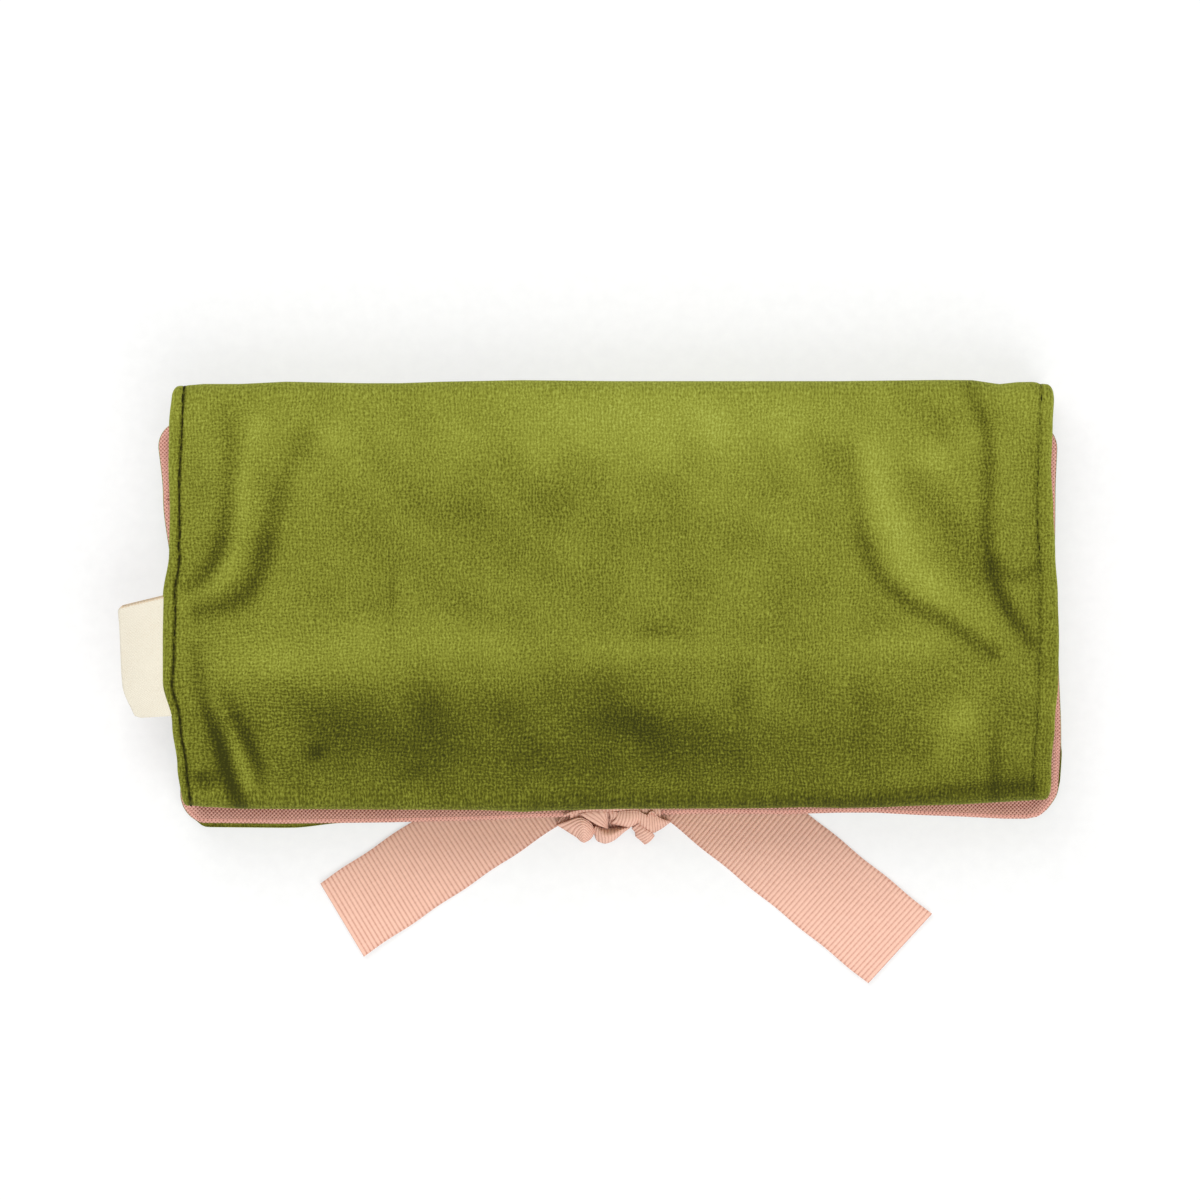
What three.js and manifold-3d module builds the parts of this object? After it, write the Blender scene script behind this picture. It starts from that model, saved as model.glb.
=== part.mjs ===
// A padded velvet jewellery roll, folded in three and lying on its front, tied with a ribbon bow.
// Millimetres. +X runs along the roll, +Y towards its top fold and +Z up from the table. The
// origin is the middle of the front flap's resting face.
// From the table up lie the front flap (velvet down), the inner flap (velvet down) and the back
// panel (velvet up). Each fold is a flat strip of velvet and lining that bends at both edges, so
// the opened roll lies flat.

import * as THREE from 'three';
import { mergeVertices } from 'three/addons/utils/BufferGeometryUtils.js';
import Module from 'manifold-3d';

const wasm = await Module();
wasm.setup();

// Cloth layers
const VELVET = 1.2;
const LINING = 0.7;
const WADDING = 3.6;
const LAYER_GAP = 0.3;
const SEAM_GAP = 0.3;
const POCKET_CLOTH = 0.6;
const CLEARANCE = 0.3;

// Outline of the closed roll
const WIDTH = 233.6;
const DEPTH = 112.7;
const FRONT_OVERHANG = 4.3;
const INNER_SHORTFALL = 12.6;
const FREE_CORNER = 8;

// Padding profile: a flat flange outside the topstitching, then a rise to the full thickness
const SEAM_FLANGE = 4.5;
const SEAM_RISE = 12;
const FOLD_DROP = 1.5;
const FOLD_RISE = 13;
const FOLD_CORNER = 1.5;

// The sides of a panel curl towards its lining, and run out flat at the folds
const FRONT_CURL = 1;
const FLAP_CURL = 3;
const CURL_WIDTH = 24;
const CURL_RUNOUT = 30;

// Room between the folded panels
const FLAP_ROOM = 2.2;
const POCKET_ROOM = 7.8;

// Side edges wander a little from the straight line, from the lower end of a panel to its upper
// end, as shares of half the width (positive is outwards)
const BACK_LEFT_SHARES = [-0.026, 0.002, 0.018, 0.006, 0.003, -0.005];
const BACK_RIGHT_SHARES = [-0.011, 0.006, 0.009, 0.003, -0.006, -0.008];
const FRONT_LEFT_SHARES = [-0.026, -0.018, -0.012, -0.009, -0.007, -0.005];
const FRONT_RIGHT_SHARES = [0.012, 0.013, 0.01, 0.004, -0.003, -0.008];
const INNER_LEFT_SHARES = [-0.026, -0.014, -0.001, 0.01, 0.019, 0.026];
const INNER_RIGHT_SHARES = [-0.011, -0.004, 0, 0.002, 0.003, 0.005];

// Soft hollows in the back panel's velvet: place as shares of half the width and half the depth,
// half length and half width as shares of half the depth, depth as a share of the wadding, and the
// angle from the X axis in degrees
const HOLLOWS = [
    { xShare: -0.83, yShare: 0.3, longShare: 0.6, wideShare: 0.16, deepShare: 0.36, angle: 62 },
    { xShare: -0.68, yShare: -0.58, longShare: 0.39, wideShare: 0.18, deepShare: 0.25, angle: 35 },
    { xShare: 0.74, yShare: 0.05, longShare: 0.64, wideShare: 0.18, deepShare: 0.33, angle: -28 },
    { xShare: -0.02, yShare: -0.62, longShare: 0.71, wideShare: 0.21, deepShare: 0.22, angle: 4 },
];

// Zip and its pocket window, with how far the tape ends inside the roll's sides and the teeth
// inside the tape's ends
const ZIP_SIDE = 21.8;
const TAPE_END = 7;
const WINDOW_END = 3.5;
const ZIP_TAPE_WIDTH = 9;
const ZIP_TAPE = 0.4;
const TOOTH_HEIGHT = 1.2;
const TOOTH_REACH = 1.3;
const TOOTH_PITCH = 4;
const TOOTH_ROW_WIDTH = 2.3;
const ROW_GAP = 1.4;
const STOP_LENGTH = 2.4;
const STOP_HEIGHT = 1;
const WINDOW_WIDTH = 10.6;
const SLIDER_PLATE = 0.5;
const SLIDER_LENGTH = 10;
const SLIDER_WIDTH = 8.4;
const SLIDER_LIP = 0.8;
const SLIDER_POST = 0.7;
const SLIDER_POST_LENGTH = 3.2;
const SLIDER_NOSE = 2.6;
const SLIDER_TAIL_SHARE = 0.72;
const SLIDER_NOSE_SHARE = 0.55;
const SLIDER_WAIST_SHARE = 0.4;
const BRIDGE_SPAN = 5.2;
const BRIDGE_RISE = 1.3;
const BRIDGE_BAR = 0.6;
const BRIDGE_WIDTH = 1.6;
const PULL_WIDTH = 4.2;
const PULL_LENGTH = 24;
const PULL_CLOTH = 0.6;
const PULL_NECK_SHARE = 0.75;
const TOOTH_SHARES = [0.14, 0.26, 0.64, 0.76];

// Pockets: how far their upper edges and zips lie below the panel's upper end, and the slip
// pocket's mouth below the top fold
const POCKET_FOOT = 4;
const BACK_POCKET_DROP = 22.7;
const BACK_ZIP_DROP = 38.7;
const INNER_POCKET_DROP = 16.1;
const INNER_ZIP_DROP = 54.1;
const SLIP_POCKET_DROP = 49;
const BINDING_WIDTH = 8;
const BINDING_CLOTH = 0.5;

// Ring bar and its press stud, with how far the bar ends inside the roll's sides
const BAR_DIAMETER = 9.4;
const BAR_SIDE = 32.8;
const BAR_DOME = 3.4;
const ANCHOR_LENGTH = 10;
const ANCHOR_CLOTH = 0.6;
const TAB_LENGTH = 19;
const TAB_WIDTH = 8.6;
const TAB_CLOTH = 0.6;
const STUD_PLACE = 11;
const STUD_BASE_RADIUS = 4.2;
const STUD_BASE = 0.7;
const STUD_NUB_RADIUS = 1.8;
const STUD_NUB = 1.3;
const SOCKET_WALL = 0.9;
const SOCKET_FLOOR = 0.5;
const RIVET_RADIUS = 1.1;
const CAP_RADIUS = 4.2;
const CAP_RISE = 0.9;
const CAP_SHOULDER_SHARES = [0.8, 0.7];

// Label
const LABEL_LOW = 24.9;
const LABEL_HEIGHT = 31.4;
const LABEL_CLOTH = 1;
const LABEL_REACH_LOW = 9.6;
const LABEL_REACH_HIGH = 12;
const LABEL_DROP = 2.4;
const LABEL_FOLD = 1.2;
const LABEL_FOLD_SHARE = 0.4;
const LABEL_ROW_SHARES = [0, 0.25, 0.5, 0.75, 1];
const LABEL_COLUMN_SHARES = [0, 0.08, 0.25, 0.6, 1];

// Ribbon
const RIBBON_WIDTH = 22.6;
const RIBBON = 0.5;
const RIBBON_NECK = 8;
const ANCHOR_PATCH_REACH = 9;
const TAIL_LEFT_START = { x: 15.4, below: -3.6 };
const TAIL_LEFT_BEND = { x: 36, below: 0.2 };
const TAIL_LEFT_END = { x: 71.8, below: 25.4 };
const TAIL_RIGHT_START = { x: 16.2, below: -3.4 };
const TAIL_RIGHT_BEND = { x: 35, below: 0.3 };
const TAIL_RIGHT_END = { x: 76.7, below: 33.2 };
const TAIL_RIGHT_WIDTH = 24.4;
const TAIL_RIPPLE = 0.5;
const TAIL_SPREAD_SHARE = 0.31;
const TAIL_LIFT_SHARE = 0.35;
const TAIL_STEPS = 14;

// Bow lumps at the free edge: middle, half sizes, number of gathers, where they start and how
// deep they are
const KNOT = { x: -0.6, out: 1.2, halfX: 4.9, halfY: 4.9, top: 8.6, gathers: 5, turn: 0.4, gatherShare: 0.1 };
const LOOP_LEFT = {
    x: -10.3, out: 0.6, halfX: 4.6, halfY: 4.7, top: 7.2, gathers: 4, turn: 1.3, gatherShare: 0.09,
};
const LOOP_RIGHT = {
    x: 9.8, out: 0.9, halfX: 5.4, halfY: 5.1, top: 7.6, gathers: 4, turn: 2.1, gatherShare: 0.09,
};
const LUMP_SQUARE_SHARE = 0.8;

// How finely the soft surfaces are divided
const RISE_SHARES = [0.3, 0.6, 1];
const FOLD_SHARES = [0.4, 0.7, 1];
const CORNER_STEPS = 3;
const BACK_COLUMNS = 9;
const FLAP_COLUMNS = 4;
const BACK_ROWS = 6;
const FLAP_ROWS = 4;
const LUMP_AROUND = 18;
const LUMP_UP = 10;
const ROUND_STEPS = 20;

// Worked out from the above
const HALF_WIDTH = WIDTH / 2;
const TOP_FOLD = DEPTH / 2;
const BOTTOM_FOLD = -DEPTH / 2;
const HALF_ROOM = WADDING / 2 + LAYER_GAP;
const PANEL = VELVET + 2 * HALF_ROOM + LINING;
const SPINE = VELVET + LAYER_GAP + LINING;
const HINGE_INSET = FOLD_CORNER;
const HINGE_RISE = FOLD_DROP + FOLD_CORNER;
const FRONT_FACE = 0;
const INNER_FACE = PANEL + FLAP_ROOM;
const BACK_FACE = INNER_FACE + PANEL + POCKET_ROOM + PANEL;
const FREE_EDGE_FRONT = BOTTOM_FOLD - FRONT_OVERHANG;
const FREE_EDGE_INNER = TOP_FOLD - INNER_SHORTFALL;
const ZIP_LENGTH = WIDTH - 2 * ZIP_SIDE;
const TEETH_LENGTH = ZIP_LENGTH - 2 * TAPE_END;
const WINDOW_LENGTH = TEETH_LENGTH + 2 * WINDOW_END;
const BAR_LENGTH = WIDTH - 2 * BAR_SIDE;

const smooth = (t) => {
    const c = Math.min(Math.max(t, 0), 1);
    return c * c * (3 - 2 * c);
};

// A smooth line through shares that are spaced evenly from 0 to 1
function wander(shares, t) {
    const place = Math.min(Math.max(t, 0), 1) * (shares.length - 1);
    const step = Math.min(Math.floor(place), shares.length - 2);
    const from = shares[step];
    return from + (shares[step + 1] - from) * smooth(place - step);
}

// Finishes
const finish = (color, roughness, metalness = 0) =>
    new THREE.MeshStandardMaterial({ color, roughness, metalness });
const velvet = finish('#7b852f', 0.95);
const lining = finish('#c98f83', 0.85);
const wadding = finish('#f2f0ea', 1);
const ribbon = finish('#e6ad98', 0.7);
const labelCloth = finish('#f2e7d6', 0.8);
const zipNylon = finish('#c08d83', 0.5);
const brass = finish('#c9a561', 0.3, 1);

const roll = new THREE.Group();
function add(name, geometry, material, parent = roll) {
    const piece = new THREE.Mesh(geometry, material);
    piece.name = name;
    parent.add(piece);
    return piece;
}

// Solids

// A closed slab on a grid: x(column, y) places the columns, and low and high give its two faces
function slab(columns, rows, x, low, high) {
    const points = [];
    const faces = [];
    const across = columns.length;
    const along = rows.length;
    for (const face of [high, low]) {
        for (const y of rows) {
            for (const column of columns) {
                const px = x(column, y);
                points.push(px, y, face(px, y));
            }
        }
    }
    const at = (side, row, column) => side * across * along + row * across + column;
    const quad = (a, b, c, d) => faces.push(a, b, c, a, c, d);
    for (let r = 0; r < along - 1; r++) {
        for (let c = 0; c < across - 1; c++) {
            quad(at(0, r, c), at(0, r, c + 1), at(0, r + 1, c + 1), at(0, r + 1, c));
            quad(at(1, r, c), at(1, r + 1, c), at(1, r + 1, c + 1), at(1, r, c + 1));
        }
    }
    for (let c = 0; c < across - 1; c++) {
        quad(at(1, 0, c), at(1, 0, c + 1), at(0, 0, c + 1), at(0, 0, c));
        const last = along - 1;
        quad(at(1, last, c + 1), at(1, last, c), at(0, last, c), at(0, last, c + 1));
    }
    for (let r = 0; r < along - 1; r++) {
        quad(at(1, r + 1, 0), at(1, r, 0), at(0, r, 0), at(0, r + 1, 0));
        const last = across - 1;
        quad(at(1, r, last), at(1, r + 1, last), at(0, r + 1, last), at(0, r, last));
    }
    const geometry = new THREE.BufferGeometry();
    geometry.setAttribute('position', new THREE.Float32BufferAttribute(points, 3));
    geometry.setIndex(faces);
    return geometry;
}

function toSolid(geometry) {
    const bare = geometry.clone();
    bare.deleteAttribute('normal');
    bare.deleteAttribute('uv');
    const merged = mergeVertices(bare);
    return new wasm.Manifold(new wasm.Mesh({
        numProp: 3,
        vertProperties: Float32Array.from(merged.attributes.position.array),
        triVerts: Uint32Array.from(merged.index.array),
    }));
}

function toGeometry(solid) {
    const mesh = solid.getMesh();
    const geometry = new THREE.BufferGeometry();
    geometry.setAttribute('position', new THREE.BufferAttribute(mesh.vertProperties, 3));
    geometry.setIndex(new THREE.BufferAttribute(mesh.triVerts, 1));
    return geometry;
}

// A block between two corners
function block(low, high) {
    const size = high.map((value, axis) => value - low[axis]);
    const middle = high.map((value, axis) => (value + low[axis]) / 2);
    return new THREE.BoxGeometry(...size).translate(...middle);
}

// An outline of [x, y] points raised from z = low to z = high
function raised(outline, low, high) {
    const shape = new THREE.Shape(outline.map(([x, y]) => new THREE.Vector2(x, y)));
    return new THREE.ExtrudeGeometry(shape, { depth: high - low, bevelEnabled: false })
        .translate(0, 0, low);
}

const joined = (...geometries) =>
    toGeometry(geometries.map(toSolid).reduce((whole, piece) => whole.add(piece)));
const cut = (geometry, ...tools) =>
    toGeometry(tools.map(toSolid).reduce((whole, tool) => whole.subtract(tool), toSolid(geometry)));

// Panels

// up is the side that the velvet faces, face the height of the velvet's outer surface, low and
// high the two ends in Y, and freeEnd the end that is a free edge, if any
const front = {
    name: 'front', up: -1, face: FRONT_FACE, freeEnd: FREE_EDGE_FRONT, folds: [TOP_FOLD], curl: FRONT_CURL,
    low: FREE_EDGE_FRONT, high: TOP_FOLD, left: FRONT_LEFT_SHARES, right: FRONT_RIGHT_SHARES,
    columns: FLAP_COLUMNS, rows: FLAP_ROWS,
};
const inner = {
    name: 'inner', up: -1, face: INNER_FACE, freeEnd: FREE_EDGE_INNER, folds: [BOTTOM_FOLD], curl: FLAP_CURL,
    low: BOTTOM_FOLD, high: FREE_EDGE_INNER, left: INNER_LEFT_SHARES, right: INNER_RIGHT_SHARES,
    columns: FLAP_COLUMNS, rows: FLAP_ROWS,
};
const back = {
    name: 'back', up: 1, face: BACK_FACE, freeEnd: null, folds: [BOTTOM_FOLD, TOP_FOLD], curl: FLAP_CURL,
    low: BOTTOM_FOLD, high: TOP_FOLD, left: BACK_LEFT_SHARES, right: BACK_RIGHT_SHARES,
    columns: BACK_COLUMNS, rows: BACK_ROWS,
};

const heightShare = (panel, y) => (y - panel.low) / (panel.high - panel.low);
const freeDistance = (panel, y) => (panel.freeEnd === null ? Infinity : Math.abs(y - panel.freeEnd));

// How far the rounded corners of the free edge draw a side in at height y
function cornerInset(panel, y) {
    const inside = FREE_CORNER - Math.min(freeDistance(panel, y), FREE_CORNER);
    return FREE_CORNER - Math.sqrt(FREE_CORNER ** 2 - inside ** 2);
}

const leftEdge = (panel, y) =>
    -HALF_WIDTH * (1 + wander(panel.left, heightShare(panel, y))) + cornerInset(panel, y);
const rightEdge = (panel, y) =>
    HALF_WIDTH * (1 + wander(panel.right, heightShare(panel, y))) - cornerInset(panel, y);

// Depth of the soft hollows at a point of the back panel
function hollow(x, y) {
    let depth = 0;
    for (const h of HOLLOWS) {
        const dx = x - h.xShare * HALF_WIDTH;
        const dy = y - h.yShare * TOP_FOLD;
        const turn = THREE.MathUtils.degToRad(h.angle);
        const along = (dx * Math.cos(turn) + dy * Math.sin(turn)) / (h.longShare * TOP_FOLD);
        const across = (dy * Math.cos(turn) - dx * Math.sin(turn)) / (h.wideShare * TOP_FOLD);
        depth += h.deepShare * WADDING * Math.exp(-(along ** 2) - across ** 2);
    }
    return depth;
}

const sideDistance = (panel, x, y) => Math.min(x - leftEdge(panel, y), rightEdge(panel, y) - x);
const foldDistance = (panel, y) => Math.min(...panel.folds.map((end) => Math.abs(y - end) - HINGE_INSET));

// Share of the full padding at a point, from 0 on the seam's flange to 1
function padShare(panel, x, y) {
    const seam = Math.min(sideDistance(panel, x, y), freeDistance(panel, y));
    return smooth((seam - SEAM_FLANGE) / SEAM_RISE);
}

// Distance from a panel's middle plane to the inside of its lining, and of its velvet, which
// comes down towards a fold and in the hollows
const liningRoom = (panel, x, y) =>
    SEAM_GAP / 2 + (HALF_ROOM - SEAM_GAP / 2) * padShare(panel, x, y);
function velvetRoom(panel, x, y) {
    const fold = FOLD_DROP * (1 - smooth(foldDistance(panel, y) / FOLD_RISE));
    const drop = fold + (panel === back ? hollow(x, y) : 0);
    const share = padShare(panel, x, y);
    return SEAM_GAP / 2 + (HALF_ROOM - SEAM_GAP / 2 - drop) * share;
}

// Height of the middle plane, which curls towards the lining at the sides
function middle(panel, x, y) {
    const side = 1 - smooth(sideDistance(panel, x, y) / CURL_WIDTH);
    const curl = panel.curl * side * smooth(foldDistance(panel, y) / CURL_RUNOUT);
    return panel.face - panel.up * (VELVET + HALF_ROOM + curl);
}
const liningFace = (panel) => panel.face - panel.up * PANEL;

// Columns count in from the two sides, so they follow the rounded corners
const RISE_STEPS = RISE_SHARES.map((share) => SEAM_FLANGE + share * SEAM_RISE);
const SIDE_STEPS = [0, SEAM_FLANGE, ...RISE_STEPS, CURL_WIDTH];
const PAD_START = 2;
function columnList(panel) {
    const between = [];
    for (let k = 1; k < panel.columns; k++) {
        between.push({ share: k / panel.columns });
    }
    return [
        ...SIDE_STEPS.map((step) => ({ left: step })),
        ...between,
        ...SIDE_STEPS.toReversed().map((step) => ({ right: step })),
    ];
}
function columnX(panel) {
    return (column, y) => {
        const left = leftEdge(panel, y);
        const right = rightEdge(panel, y);
        if ('left' in column) {
            return left + column.left;
        }
        if ('right' in column) {
            return right - column.right;
        }
        const inset = SIDE_STEPS.at(-1);
        return left + inset + column.share * (right - left - 2 * inset);
    };
}

// Rows from the lower end to the upper, with the corner's arc, the rise and the fold's rise
function rowList(panel, wall) {
    const ends = [panel.low, panel.high].map((end, side) => {
        const inwards = side === 0 ? 1 : -1;
        if (end === panel.freeEnd) {
            const arc = [];
            for (let k = 0; k <= CORNER_STEPS; k++) {
                arc.push(FREE_CORNER * (1 - Math.cos((k / CORNER_STEPS) * (Math.PI / 2))));
            }
            return [...arc, ...RISE_STEPS.slice(1)].map((step) => end + inwards * step);
        }
        const first = HINGE_INSET + LAYER_GAP / 2;
        const steps = [SPINE + LAYER_GAP, ...FOLD_SHARES.map((share) => first + share * FOLD_RISE)];
        return (wall === 'velvet' ? [first, ...steps] : steps).map((step) => end + inwards * step);
    });
    const low = ends[0].at(-1);
    const high = ends[1].at(-1);
    const between = [];
    for (let k = 1; k < panel.rows; k++) {
        between.push(low + (k / panel.rows) * (high - low));
    }
    return [...ends[0], ...between, ...ends[1].toReversed()];
}

// A layer of cloth between two distances from the middle plane, on the given side of it
function layer(panel, side, columns, rows, from, to) {
    const near = (x, y) => middle(panel, x, y) + side * from(x, y);
    const far = (x, y) => middle(panel, x, y) + side * to(x, y);
    return slab(columns, rows, columnX(panel), side > 0 ? near : far, side > 0 ? far : near);
}

// A layer that lies over the lining, lift above it in the middle and close to it at the seams
function overLining(panel, rows, lift, thickness) {
    const close = (x, y) => CLEARANCE + (lift - CLEARANCE) * padShare(panel, x, y);
    const from = (x, y) => liningRoom(panel, x, y) + LINING + close(x, y);
    const to = (x, y) => from(x, y) + thickness;
    return layer(panel, -panel.up, columnList(panel), rows, from, to);
}

function addPanel(panel) {
    const columns = columnList(panel);
    const velvetIn = (x, y) => velvetRoom(panel, x, y);
    const liningIn = (x, y) => liningRoom(panel, x, y);
    const velvetRows = rowList(panel, 'velvet');
    const liningRows = rowList(panel, 'lining');
    const cover = layer(panel, panel.up, columns, velvetRows, velvetIn, (x, y) => velvetIn(x, y) + VELVET);
    add(`${panel.name}_velvet`, cover, velvet);
    const inside = layer(panel, -panel.up, columns, liningRows, liningIn, (x, y) => liningIn(x, y) + LINING);
    add(`${panel.name}_lining`, inside, lining);

    const padColumns = columns.slice(PAD_START, -PAD_START);
    const pads = liningRows.filter((y) => freeDistance(panel, y) >= FREE_CORNER);
    const fill = slab(
        padColumns, pads, columnX(panel),
        (x, y) => middle(panel, x, y) - (panel.up > 0 ? liningIn(x, y) : velvetIn(x, y)) + LAYER_GAP,
        (x, y) => middle(panel, x, y) + (panel.up > 0 ? velvetIn(x, y) : liningIn(x, y)) - LAYER_GAP,
    );
    add(`${panel.name}_wadding`, fill, wadding);
}
[front, inner, back].forEach(addPanel);

// Folds

// The strip between two panels stands upright while the roll is closed
function addFold(name, outer, direction, lowFace, highFace) {
    const bottom = lowFace + HINGE_RISE + LAYER_GAP / 2;
    const top = highFace - HINGE_RISE - LAYER_GAP / 2;
    const left = leftEdge(back, outer) + CLEARANCE;
    const right = rightEdge(back, outer) - CLEARANCE;
    const strip = (from, to, inset) => {
        const ys = [outer - direction * from, outer - direction * to].sort((a, b) => a - b);
        return block([left, ys[0], bottom + inset], [right, ys[1], top - inset]);
    };
    add(`${name}_velvet`, strip(0, VELVET, 0), velvet);
    add(`${name}_lining`, strip(VELVET + LAYER_GAP, SPINE, LAYER_GAP), lining);
}
addFold('top_fold', TOP_FOLD, 1, FRONT_FACE, BACK_FACE);
addFold('bottom_fold', BOTTOM_FOLD, -1, INNER_FACE, BACK_FACE);

// Slip pocket of the front flap, with its bound mouth
const pocketMouth = TOP_FOLD - SLIP_POCKET_DROP;
const pocketRows = [...rowList(front, 'lining').filter((y) => y < pocketMouth), pocketMouth];
add('front_slip_pocket', overLining(front, pocketRows, CLEARANCE, POCKET_CLOTH), lining);
const bindingRows = [pocketMouth - BINDING_WIDTH, pocketMouth];
const onPocket = (x, y) => liningRoom(front, x, y) + LINING + POCKET_CLOTH + 2 * CLEARANCE;
const binding = layer(
    front, -front.up, columnList(front), bindingRows, onPocket, (x, y) => onPocket(x, y) + BINDING_CLOTH,
);
add('front_pocket_binding', binding, ribbon);

// Zipped pockets

// Heights above the lining, in a frame whose Z points away from it
const PLATE_LOW = CLEARANCE;
const TAPE_LOW = PLATE_LOW + SLIDER_PLATE + CLEARANCE;
const TEETH_TOP = TAPE_LOW + TOOTH_HEIGHT;
const PLATE_HIGH = TEETH_TOP + CLEARANCE;
const PULL_LOW = PLATE_HIGH + SLIDER_PLATE + CLEARANCE;
const WINDOW_LIFT = TAPE_LOW + ZIP_TAPE + CLEARANCE;

// One tape with its row of teeth, on the side of the zip that sign gives
function zipTape(sign) {
    const near = ROW_GAP / 2;
    const root = near + TOOTH_REACH;
    const rowBack = near + TOOTH_ROW_WIDTH;
    const start = -TEETH_LENGTH / 2;
    const outline = [[-start, rowBack], [start, rowBack]];
    const count = Math.floor(TEETH_LENGTH / TOOTH_PITCH);
    outline.push([start, root]);
    for (let k = 0; k < count; k++) {
        const [rise, crown, fall, foot] = TOOTH_SHARES.map((share) => start + (k + share) * TOOTH_PITCH);
        outline.push([rise, root], [crown, near], [fall, near], [foot, root]);
    }
    outline.push([-start, root]);
    const side = (points) => points.map(([x, y]) => [x, sign * y]);
    const ordered = (points) => (sign > 0 ? points.toReversed() : points);
    const teeth = raised(ordered(side(outline)), TAPE_LOW, TEETH_TOP);
    const tapeEdges = [sign * root, sign * (near + ZIP_TAPE_WIDTH)].sort((a, b) => a - b);
    const tape = block(
        [-ZIP_LENGTH / 2, tapeEdges[0], TAPE_LOW],
        [ZIP_LENGTH / 2, tapeEdges[1], TAPE_LOW + ZIP_TAPE],
    );
    return joined(teeth, tape);
}

function endStop(sign) {
    const reach = ROW_GAP / 2 + TOOTH_ROW_WIDTH;
    const inside = TEETH_LENGTH / 2 + CLEARANCE;
    const xs = [sign * inside, sign * (inside + STOP_LENGTH)].sort((a, b) => a - b);
    const low = TAPE_LOW + ZIP_TAPE + CLEARANCE;
    return block([xs[0], -reach, low], [xs[1], reach, low + STOP_HEIGHT]);
}

// The slider: two plates that hold the rows between them, joined by the post at the nose, lips
// that turn down beside the teeth, and the bridge that carries the pull
function zipSlider() {
    const half = SLIDER_WIDTH / 2;
    const tail = -SLIDER_LENGTH / 2;
    const nose = SLIDER_LENGTH / 2;
    const waist = tail * SLIDER_WAIST_SHARE;
    const tailHalf = half * SLIDER_TAIL_SHARE;
    const noseHalf = half * SLIDER_NOSE_SHARE;
    const plan = [
        [tail, -tailHalf], [waist, -half], [nose - SLIDER_NOSE, -half], [nose, -noseHalf],
        [nose, noseHalf], [nose - SLIDER_NOSE, half], [waist, half], [tail, tailHalf],
    ];
    const below = raised(plan, PLATE_LOW, PLATE_LOW + SLIDER_PLATE);
    const above = raised(plan, PLATE_HIGH, PLATE_HIGH + SLIDER_PLATE);
    const post = block(
        [nose - SLIDER_POST_LENGTH, -SLIDER_POST / 2, PLATE_LOW + SLIDER_PLATE / 2],
        [nose, SLIDER_POST / 2, PLATE_HIGH + SLIDER_PLATE / 2],
    );
    const lipLow = TAPE_LOW + ZIP_TAPE + CLEARANCE;
    const lips = [-1, 1].map((sign) => {
        const ys = [sign * (half - SLIDER_LIP), sign * half].sort((a, b) => a - b);
        return block([waist, ys[0], lipLow], [nose - SLIDER_NOSE, ys[1], PLATE_HIGH + SLIDER_PLATE / 2]);
    });
    const arch = new THREE.Shape();
    const foot = BRIDGE_SPAN / 2;
    const rise = BRIDGE_RISE + BRIDGE_BAR;
    arch.moveTo(-foot - BRIDGE_BAR, -SLIDER_PLATE / 2);
    arch.lineTo(-foot, -SLIDER_PLATE / 2);
    arch.lineTo(-foot, BRIDGE_RISE / 2);
    arch.quadraticCurveTo(-foot, BRIDGE_RISE, -foot / 2, BRIDGE_RISE);
    arch.lineTo(foot / 2, BRIDGE_RISE);
    arch.quadraticCurveTo(foot, BRIDGE_RISE, foot, BRIDGE_RISE / 2);
    arch.lineTo(foot, -SLIDER_PLATE / 2);
    arch.lineTo(foot + BRIDGE_BAR, -SLIDER_PLATE / 2);
    arch.lineTo(foot + BRIDGE_BAR, rise / 2);
    arch.quadraticCurveTo(foot + BRIDGE_BAR, rise, foot / 2, rise);
    arch.lineTo(-foot / 2, rise);
    arch.quadraticCurveTo(-foot - BRIDGE_BAR, rise, -foot - BRIDGE_BAR, rise / 2);
    const bridge = new THREE.ExtrudeGeometry(arch, { depth: BRIDGE_WIDTH, bevelEnabled: false, curveSegments: 4 })
        .translate(0, 0, -BRIDGE_WIDTH / 2)
        .rotateX(Math.PI / 2)
        .rotateZ(Math.PI / 2)
        .translate(0, 0, PLATE_HIGH + SLIDER_PLATE);
    return joined(below, above, post, ...lips, bridge);
}

// The ribbon pull lies under the bridge, its end trimmed to a point
function zipPull() {
    const half = PULL_WIDTH / 2;
    const start = -BRIDGE_SPAN / 2 + CLEARANCE;
    const end = start + PULL_LENGTH;
    const neck = BRIDGE_SPAN / 2 - CLEARANCE;
    const narrow = half * PULL_NECK_SHARE;
    const plan = [
        [start, -narrow], [neck, -narrow], [neck + half, -half], [end - half, -half], [end, 0],
        [end - half, half], [neck + half, half], [neck, narrow], [start, narrow],
    ];
    return raised(plan, PULL_LOW, PULL_LOW + PULL_CLOTH);
}

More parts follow.
